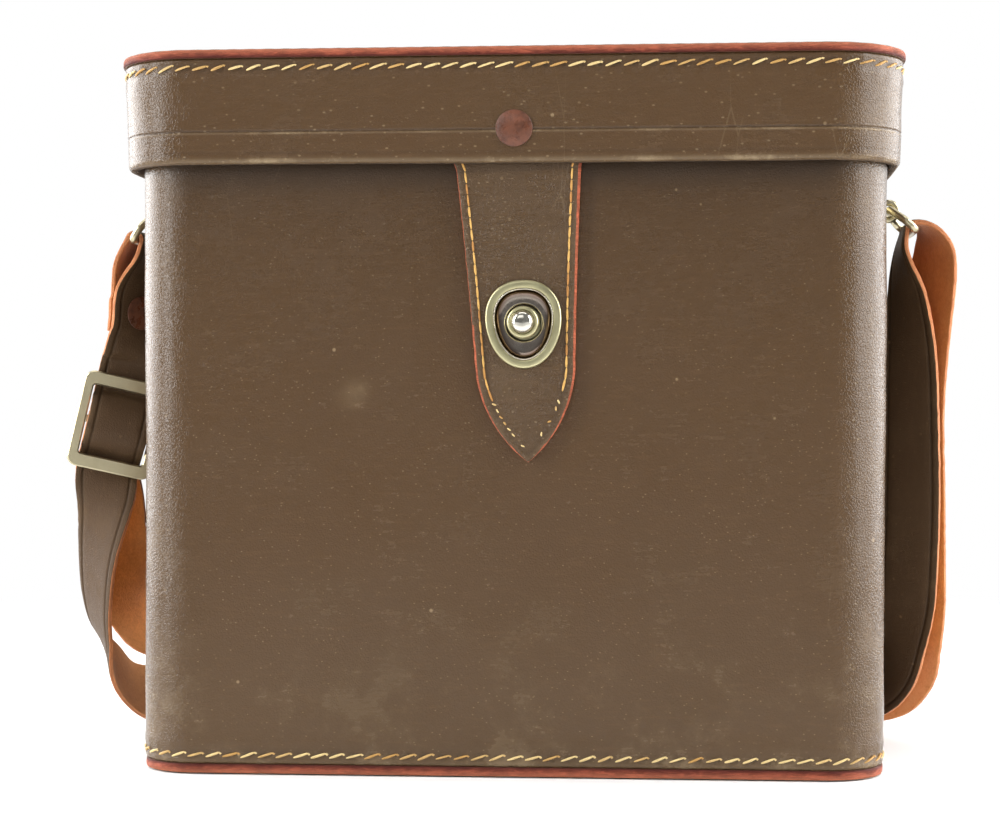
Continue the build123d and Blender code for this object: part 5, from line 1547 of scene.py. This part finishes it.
    arriving = left_inner[-4:] + under_slide[:2]
    turned_back = [end_station(arriving[k], arriving[k + 1]) for k in range(1, 5)]
    before_arm = left_turn + round_ring(-1, 20, 180, 6)
    stations = before_arm + left_arm + through_slide + left_outer + back_outer + right_outer
    stations += round_ring(1, 92, 185, 4) + right_inner + back_inner + left_inner + under_slide + round_bar
    stations += turned_back[::-1]
    rivet = (left_arm[2], left_arm[3], left_arm[4])
    end_rivet = (arriving[2], arriving[3], arriving[4])
    return stations, rivet, end_rivet


def between(a, b, c, d, t):
    """A place on the smooth curve from b to c."""
    return (b * 2 + (c - a) * t + (a * 2 - b * 5 + c * 4 - d) * t**2 + (b * 3 - a - c * 3 + d) * t**3) * 0.5


def smooth_line(points, gap=1.5):
    """The stations on a smooth curve, at most that far apart."""
    made = []
    for k in range(len(points) - 1):
        a, b, c, d = points[max(k - 1, 0)], points[k], points[k + 1], points[min(k + 2, len(points) - 1)]
        count = max(2, ceil((c[0] - b[0]).length / gap))
        for step in range(count):
            t = step / count
            made.append(tuple(between(a[n], b[n], c[n], d[n], t) for n in range(3)))
    made.append(points[-1])
    return made


def strap_section(crease):
    """(across, through, material) round the strap's section: grain side, far edge, flesh side, near edge."""
    half = STRAP_WIDE / 2
    middle = [-(half - crease) + d for d in (-0.75, -0.45, -0.2, 0, 0.2, 0.45, 0.75)]
    across = [-half, -half + 0.12, -half + 0.4, -half + 0.85] + middle + [-4.4, -1.5, 1.5, 4.4]
    across += [-d for d in reversed(middle)] + [half - 0.85, half - 0.4, half - 0.12, half]
    face = [(x, 1) for x in across]
    flesh = [(x, -1) for x in (half, half - 0.15, half - 0.6, 5, 0, -5, -half + 0.6, -half + 0.15, -half)]
    return face, flesh


def make_strap(tooling):
    """The one long strap: tooled grain outside, orange-brown flesh inside, raw edges between."""
    stations, rivet, end_rivet = strap_stations()
    line = smooth_line(stations)
    crease = tooling.strap_crease / MM
    face, flesh = strap_section(crease)
    half = STRAP_WIDE / 2
    section = face + [(half + 0.06, 0.34), (half + 0.06, -0.34)] + flesh + [(-half - 0.06, -0.34), (-half - 0.06, 0.34)]
    skin, run = Skin(), 0.0
    for k, (place, way, thick) in enumerate(line):
        ahead = (line[min(k + 1, len(line) - 1)][0] - line[max(k - 1, 0)][0]).normalized()
        if k:
            run += (place - line[k - 1][0]).length
        across = (way - ahead * way.dot(ahead)).normalized()
        out = ahead.cross(across)
        lip, lip_far = (
            0.16 * noise.noise(Vector((run * 0.35, slow, 0))) + 0.1 * noise.noise(Vector((run * 1.3, quick, 0)))
            for slow, quick in ((1, 4), (9, 13))
        )
        loose = clamp((thick - 1.3) / 0.5)
        for x, side in section:
            near = half - abs(x)
            edge_wave = (lip if x < 0 else lip_far) * exp(-near / 0.8)
            x_out = x + (1 if x > 0 else -1) * edge_wave * loose * (1 if near < 1.2 else 0)
            through = side * min(thick, FINISHED_THICK + 0.1 * noise.noise(Vector((run * 0.2, 2, 7)))) / 2
            if side == 1:
                round_off = 0.22 * exp(-near / 0.35)
                pressed = groove(near - crease, 0.7, 0.22) * loose
                through += pressed - round_off + 0.05 * (1 - (x / half) ** 2)
            elif side == -1:
                through += 0.12 * exp(-near / 0.3) - 0.06 * loose * noise.noise(Vector((run * 0.25, x * 0.4, 20)))
            p = place + across * x_out + out * through
            wear = 0.12 + 0.45 * exp(-near / 0.9) + 0.25 * clamp(noise.noise(Vector((run * 0.03, x * 0.05, 3))))
            # Painted shade: along the tooled crease and the margin outside it, on the flesh side of the right run and
            # of the strap's first loop; on the raw edges an uneven darkening.
            painted_shade = 0.0
            if side == 1:
                painted_shade = 0.8 * exp(-(((near - crease) / 0.35) ** 2)) + 0.35 * clamp((crease - near) / 0.5) * 0.6
            if side == -1:
                low = clamp((40 - p.z) / 25)
                wear = clamp(0.05 + 0.75 * low + 0.25 * exp(-near / 1.2))
                painted_shade = 0.55 * clamp((p.x - 60) / 30) * clamp((p.z - 60) / 40)
                if run < 25:
                    painted_shade = max(painted_shade, 0.45)
            if abs(side) < 0.9:
                wear, painted_shade = 0.3, 0.15 + 0.3 * clamp(noise.noise(Vector((run * 0.2, side, x))))
            skin.add(p, x if side >= 0 else x + 40, run, clamp(wear), clamp(painted_shade))

    def part_of(column, _):
        if column < len(face) - 1:
            return 0
        return 2 if len(face) + 2 <= column < len(face) + 1 + len(flesh) else 1

    faces, parts = strip_faces(len(line), len(section), part_of, clockwise=True)
    materials = [finish("strap grain"), finish("strap edge"), finish("suede")]
    made = skin.piece("strap_leather", faces, materials, parts)
    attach(made, "strap")
    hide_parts("strap")

    def seat(trio, side):
        place, way, thick = trio[1]
        out = way.cross(trio[2][0] - trio[0][0]).normalized() * side
        return axes(place + out * (thick / 2), way, out)

    head = make_rivet("strap_rivet_head", "strap", seat(rivet, -1), 4.95, 0.9, 0.25)
    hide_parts("strap_rivet")
    small = make_rivet("strap_end_rivet_head", "strap", seat(end_rivet, 1), 3.5, 0.8, 0.5)
    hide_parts("strap_end_rivet")


# ------------------------------------------------------------------ hinge
HINGE_HALF = 75.0
HINGE_TOP = LID_EDGE + 17.0
HINGE_LOW = LID_EDGE - 38.0
HINGE_CORNER = 8.0
HINGE_FACE = 46.9
HINGE_BACK = 45.1


def make_hinge():
    """The leather hinge down the back, in one piece across the lid's edge."""
    bend, curl = 3, HINGE_CORNER + 0.2
    rows = climb(HINGE_TOP, LID_EDGE + bend, 5) + climb(LID_EDGE + bend, LID_EDGE - bend, 16)
    rows += climb(LID_EDGE - bend, HINGE_LOW + curl, 18)
    rows += [HINGE_LOW + curl - curl * sin(pi / 2 * k / 9) for k in range(0, 9)] + [HINGE_LOW + 0.01]
    across = [-1, -0.998, -0.992, -0.98] + [-0.96 + 1.92 * k / 44 for k in range(45)] + [0.98, 0.992, 0.998, 1]
    section = [(t, 1) for t in across] + [(t, 0) for t in reversed(across[1:-1])]
    skin = Skin()
    for z in rows:
        wide = HINGE_HALF
        if z < HINGE_LOW + HINGE_CORNER:
            wide += sqrt(max(0.0, HINGE_CORNER**2 - (HINGE_LOW + HINGE_CORNER - z) ** 2)) - HINGE_CORNER
        for t, outer in section:
            x = -t * wide
            near = min((1 - abs(t)) * wide, z - HINGE_LOW)
            y = HINGE_FACE - 0.5 * exp(-near / 0.5) if outer else HINGE_BACK
            if outer:
                y += groove(near - 2.2, 0.7, 0.2) + 0.1 * noise.noise(Vector((x * 0.05, z * 0.07, 2)))
                folded = exp(-(((z - LID_EDGE) / 1.6) ** 2))
                y -= 0.12 * folded * abs(noise.noise(Vector((x * 0.4, z * 1.2, 7))))
                y = min(y, HINGE_FACE + 0.12)
            if abs(t) == 1 and outer:
                y = (HINGE_BACK + HINGE_FACE) / 2
            wear = clamp(0.15 + 0.5 * exp(-near / 1.2) + 0.4 * exp(-(((z - LID_EDGE) / 2.5) ** 2)))
            # Painted shade along the tooled line near the edges.
            skin.add((x, y, z), x, z, wear, clamp(0.7 * exp(-(((near - 2.2) / 0.4) ** 2))))
    face_end = len(across) - 1
    faces, parts = strip_faces(len(rows), len(section), lambda column, _: 0 if column < face_end else 2, clockwise=True)
    materials = [finish("brown grain"), finish("cut edge"), finish("rough inside")]
    made = skin.piece("hinge_leather", faces, materials, parts)
    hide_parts("hinge_leaf_body", "hinge_leaf_lid", "hinge_fold")
    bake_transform(made)


def sew_hinge(sewing):
    """The hinge's stitches round its lower leaf."""
    inset, corner, y = 3.6, 5.0, HINGE_FACE + 0.05
    half, low, high = HINGE_HALF - inset, HINGE_LOW + inset, LID_EDGE - 3.5
    turn = [(corner * cos(a), corner * sin(a)) for a in climb(0, pi / 2, 8)]
    path = [(-half, y, z) for z in climb(high, low + corner, 20)]
    path += [(-half + corner - c, y, low + corner - s) for c, s in turn]
    path += [(x, y, low) for x in climb(-half + corner, half - corner, 90)]
    path += [(half - corner + s, y, low + corner - c) for c, s in turn]
    path += [(half, y, z) for z in climb(low + corner, high, 20)]
    sizes = dict(pitch=sewing.tab_pitch * 1.15, length=sewing.tab_pitch * 0.95, thread=0.7 * MM, slant=0.0)
    sizes.update(loose=0.05, missing=0.02, seed=14)
    sew("stitches_hinge", path, [(0, 1, 0)] * len(path), "case", finish("thread"), **sizes)


# ------------------------------------------------------------------ small hardware that keeps its solid shape
HARDWARE = {
    "slide plating": (
        "slide", "lug_ring_left", "lug_ring_right", "lug_eye_left", "lug_eye_right", "lug_plate_left", "lug_plate_right"
    ),
    "steel": ("lug_washer_left", "lug_washer_right", "lid_burr", "catch_wire", "latch_back", "stud_backing"),
    "board": ("base_board", "lid_board"),
}


def dress_hardware():
    """Gives the carried-over solids their metal and board."""
    for kind, names in HARDWARE.items():
        for name in names:
            materials = bpy.data.objects[name].data.materials
            materials.clear()
            materials.append(finish(kind))


# ------------------------------------------------------------------ stage
def seen_plainly(tree):
    """Light Path's outputs, and 1 for what the camera sees by itself, in a mirror or through glass."""
    seen = node(tree, "ShaderNodeLightPath").outputs
    direct = maths(tree, "MAXIMUM", seen["Is Camera Ray"], seen["Is Glossy Ray"])
    return seen, maths(tree, "MAXIMUM", direct, seen["Is Transmission Ray"])


def make_stage():
    """A pale floor, a white world and soft lamps, with the camera in front of the case."""
    scene = bpy.context.scene
    scene.view_settings.view_transform = "Standard"
    world = bpy.data.worlds.new("Pale studio")
    scene.world = world
    world.use_nodes = True
    tree = world.node_tree
    tree.nodes.clear()
    seen, plain = seen_plainly(tree)
    # Mirror reflections see the white backdrop behind and beside the case, and the dimmer room in front of it.
    ahead = node(tree, "ShaderNodeSeparateXYZ", {0: where(tree)}).outputs["Y"]
    mirrored = times(tree, seen["Is Glossy Ray"], ramp(tree, ahead, -0.15, 0.35, 0.25, 1.0))
    level = maths(tree, "MAXIMUM", maths(tree, "MAXIMUM", seen["Is Camera Ray"], seen["Is Transmission Ray"]), mirrored)
    light = node(tree, "ShaderNodeBackground", {"Color": (1, 1, 1, 1), "Strength": 0.34})
    shown = node(tree, "ShaderNodeBackground", {"Color": (1, 1, 1, 1), "Strength": level})
    mixed = node(tree, "ShaderNodeMixShader", {0: plain, 1: light.outputs[0], 2: shown.outputs[0]})
    tree.links.new(mixed.outputs[0], node(tree, "ShaderNodeOutputWorld").inputs[0])

    mesh = bpy.data.meshes.new("floor")
    reach = 6.0
    corners = [(-reach, -reach, 0), (reach, -reach, 0), (reach, reach, 0), (-reach, reach, 0)]
    mesh.from_pydata(corners, [], [(0, 1, 2, 3)])
    ground = bpy.data.objects.new("floor", mesh)
    ground.location.z = -0.0003
    scene.collection.objects.link(ground)
    material = bpy.data.materials.new("Pale floor")
    material.use_nodes = True
    tree = material.node_tree
    shader = tree.nodes["Principled BSDF"]
    shader.inputs["Base Color"].default_value = (0.93, 0.93, 0.93, 1)
    shader.inputs["Roughness"].default_value = 0.7
    shader.inputs["Specular IOR Level"].default_value = 0.2
    # Away from the case the floor fades into the white of the backdrop, and near it the floor keeps its shadow.
    away = node(tree, "ShaderNodeVectorMath", {0: where(tree)}, operation="LENGTH").outputs["Value"]
    fade = times(tree, ramp(tree, away, 0.17, 0.6), seen_plainly(tree)[1])
    white = node(tree, "ShaderNodeEmission", {"Color": (1, 1, 1, 1), "Strength": 1.0}).outputs[0]
    mixed = node(tree, "ShaderNodeMixShader", {0: fade, 1: shader.outputs[0], 2: white}).outputs[0]
    tree.links.new(mixed, tree.nodes["Material Output"].inputs["Surface"])
    mesh.materials.append(material)

    for name, place, size, power in (
        ("lamp_front", (-0.35, -1.5, 1.0), (0.9, 0.7), 2.8),
        ("lamp_left", (-0.96, -0.46, 0.42), (0.26, 1.3), 13.5),
        ("lamp_right", (1.02, -0.36, 0.42), (0.45, 1.3), 14.0),
        ("lamp_back_left", (-1.15, 0.5, 0.45), (1.2, 1.1), 25.0),
        ("lamp_back_right", (1.15, 0.45, 0.45), (1.3, 1.1), 26.0),
        ("lamp_top", (0.0, 0.0, 1.5), (1.2, 0.9), 6.0),
    ):
        lamp = bpy.data.lights.new(name, "AREA")
        lamp.shape = "RECTANGLE"
        lamp.size, lamp.size_y = size
        lamp.energy = power
        holder = bpy.data.objects.new(name, lamp)
        holder.location = place
        holder.rotation_euler = (Vector((0, 0, 0.1)) - Vector(place)).to_track_quat("-Z", "Y").to_euler()
        scene.collection.objects.link(holder)

    view = bpy.data.cameras.new("camera")
    view.lens = 80.2
    view.sensor_width = 36.0
    view.shift_x = -0.0183
    camera = bpy.data.objects.new("camera", view)
    around, distance, height = radians(4.5), 0.65, 0.0984
    camera.location = (distance * sin(around), -distance * cos(around), height)
    camera.rotation_euler = (radians(90), 0.0, around)
    scene.collection.objects.link(camera)
    scene.camera = camera


# ------------------------------------------------------------------ operators, one for each group of like pieces
class CASE_OT_body(bpy.types.Operator):
    """Build the case's wall, base panel and lining"""

    bl_idname = "hard_case.body"
    bl_label = "Case body"

    def execute(self, context):
        sewing = context.scene.case_sewing
        make_body_wall(sewing)
        make_panel("base_panel_leather", "case", ["base_panel"], BASE_GROW, BASE_THICK, 0.0, 5.0, sewing.pitch)
        make_lining("case_wall_lining", "case", ["body_lining"], -3.15, 1.0, 4.6, 183.0, "felt")
        make_slab("base_padding", "case", ["base_pad"], -4.3, 4.6, 7.4, 0.5, 6.0)
        return {"FINISHED"}


class CASE_OT_lid(bpy.types.Operator):
    """Build the lid's skirt, top panel, lining and rivet"""

    bl_idname = "hard_case.lid"
    bl_label = "Lid"

    def execute(self, context):
        sewing = context.scene.case_sewing
        make_lid_skirt(sewing, context.scene.case_tooling)
        top = CASE_HEIGHT - 0.2
        make_panel("lid_panel_leather", "lid", ["lid_panel"], LID_GROW, PANEL_BOTTOM, top, 12.0, sewing.pitch)
        make_slab("lid_top_lining", "lid", ["lid_lining"], 2.7, 193.4, 192.4, 0.0, 17.0, 0.6)
        place = axes((RIVET_X, -50.09, RIVET_Z), (1, 0, 0), (0, -1, 0))
        head = make_rivet("lid_rivet_head", "lid", place, 5.0, 1.1, 0.0)
        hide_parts("lid_rivet")
        return {"FINISHED"}


class CASE_OT_sewing(bpy.types.Operator):
    """Lay the stitches of the end panels, the tab and the hinge"""

    bl_idname = "hard_case.sewing"
    bl_label = "Stitches"

    def execute(self, context):
        for lay in (sew_panels, sew_tab, sew_hinge):
            lay(context.scene.case_sewing)
        return {"FINISHED"}


class CASE_OT_tab(bpy.types.Operator):
    """Build the closing tab and the hinge"""

    bl_idname = "hard_case.tab"
    bl_label = "Tab and hinge"

    def execute(self, context):
        make_tab_leather()
        make_hinge()
        return {"FINISHED"}


class CASE_OT_latch(bpy.types.Operator):
    """Build the latch plate, its dish, the stud and the button"""

    bl_idname = "hard_case.latch"
    bl_label = "Latch and stud"

    def execute(self, context):
        make_latch()
        make_stud()
        return {"FINISHED"}


class CASE_OT_strap(bpy.types.Operator):
    """Build the strap and its rivets"""

    bl_idname = "hard_case.strap"
    bl_label = "Strap"

    def execute(self, context):
        make_strap(context.scene.case_tooling)
        return {"FINISHED"}


class CASE_OT_hardware(bpy.types.Operator):
    """Finish the slide, rings, eyes, plates and boards"""

    bl_idname = "hard_case.hardware"
    bl_label = "Hardware"

    def execute(self, context):
        dress_hardware()
        return {"FINISHED"}


class CASE_OT_stage(bpy.types.Operator):
    """Set the floor, the lamps and the camera"""

    bl_idname = "hard_case.stage"
    bl_label = "Stage"

    def execute(self, context):
        make_stage()
        return {"FINISHED"}


PIECES = (
    CASE_OT_body,
    CASE_OT_lid,
    CASE_OT_tab,
    CASE_OT_latch,
    CASE_OT_strap,
    CASE_OT_hardware,
    CASE_OT_sewing,
    CASE_OT_stage,
)
SETTINGS = (CaseSewing, CaseTooling, CaseLeather, CaseTrim)


class CASE_PT_panel(bpy.types.Panel):
    """Settings and pieces of the case"""

    bl_label = "Hard binocular case"
    bl_idname = "CASE_PT_panel"
    bl_space_type = "VIEW_3D"
    bl_region_type = "UI"
    bl_category = "Case"

    def draw(self, context):
        for title, held in (
            ("Sewing", context.scene.case_sewing),
            ("Tooling", context.scene.case_tooling),
            ("Leather", context.scene.case_leather),
            ("Trim", context.scene.case_trim),
        ):
            box = self.layout.box()
            box.label(text=title)
            for name in held.__annotations__:
                box.prop(held, name)
        for piece in PIECES:
            self.layout.operator(piece.bl_idname)


def register():
    """Registers the classes and hangs the settings on the scene."""
    for kind in (*SETTINGS, *PIECES, CASE_PT_panel):
        bpy.utils.register_class(kind)
    scene = bpy.types.Scene
    scene.case_sewing = PointerProperty(type=CaseSewing)
    scene.case_tooling = PointerProperty(type=CaseTooling)
    scene.case_leather = PointerProperty(type=CaseLeather)
    scene.case_trim = PointerProperty(type=CaseTrim)


def unregister():
    """Takes the settings and the classes away again."""
    scene = bpy.types.Scene
    del scene.case_sewing, scene.case_tooling, scene.case_leather, scene.case_trim
    for kind in reversed((*SETTINGS, *PIECES, CASE_PT_panel)):
        bpy.utils.unregister_class(kind)


def main():
    """Builds every piece in order."""
    register()
    for piece in PIECES:
        area, name = piece.bl_idname.split(".")
        getattr(getattr(bpy.ops, area), name)()


if __name__ == "__main__":
    main()
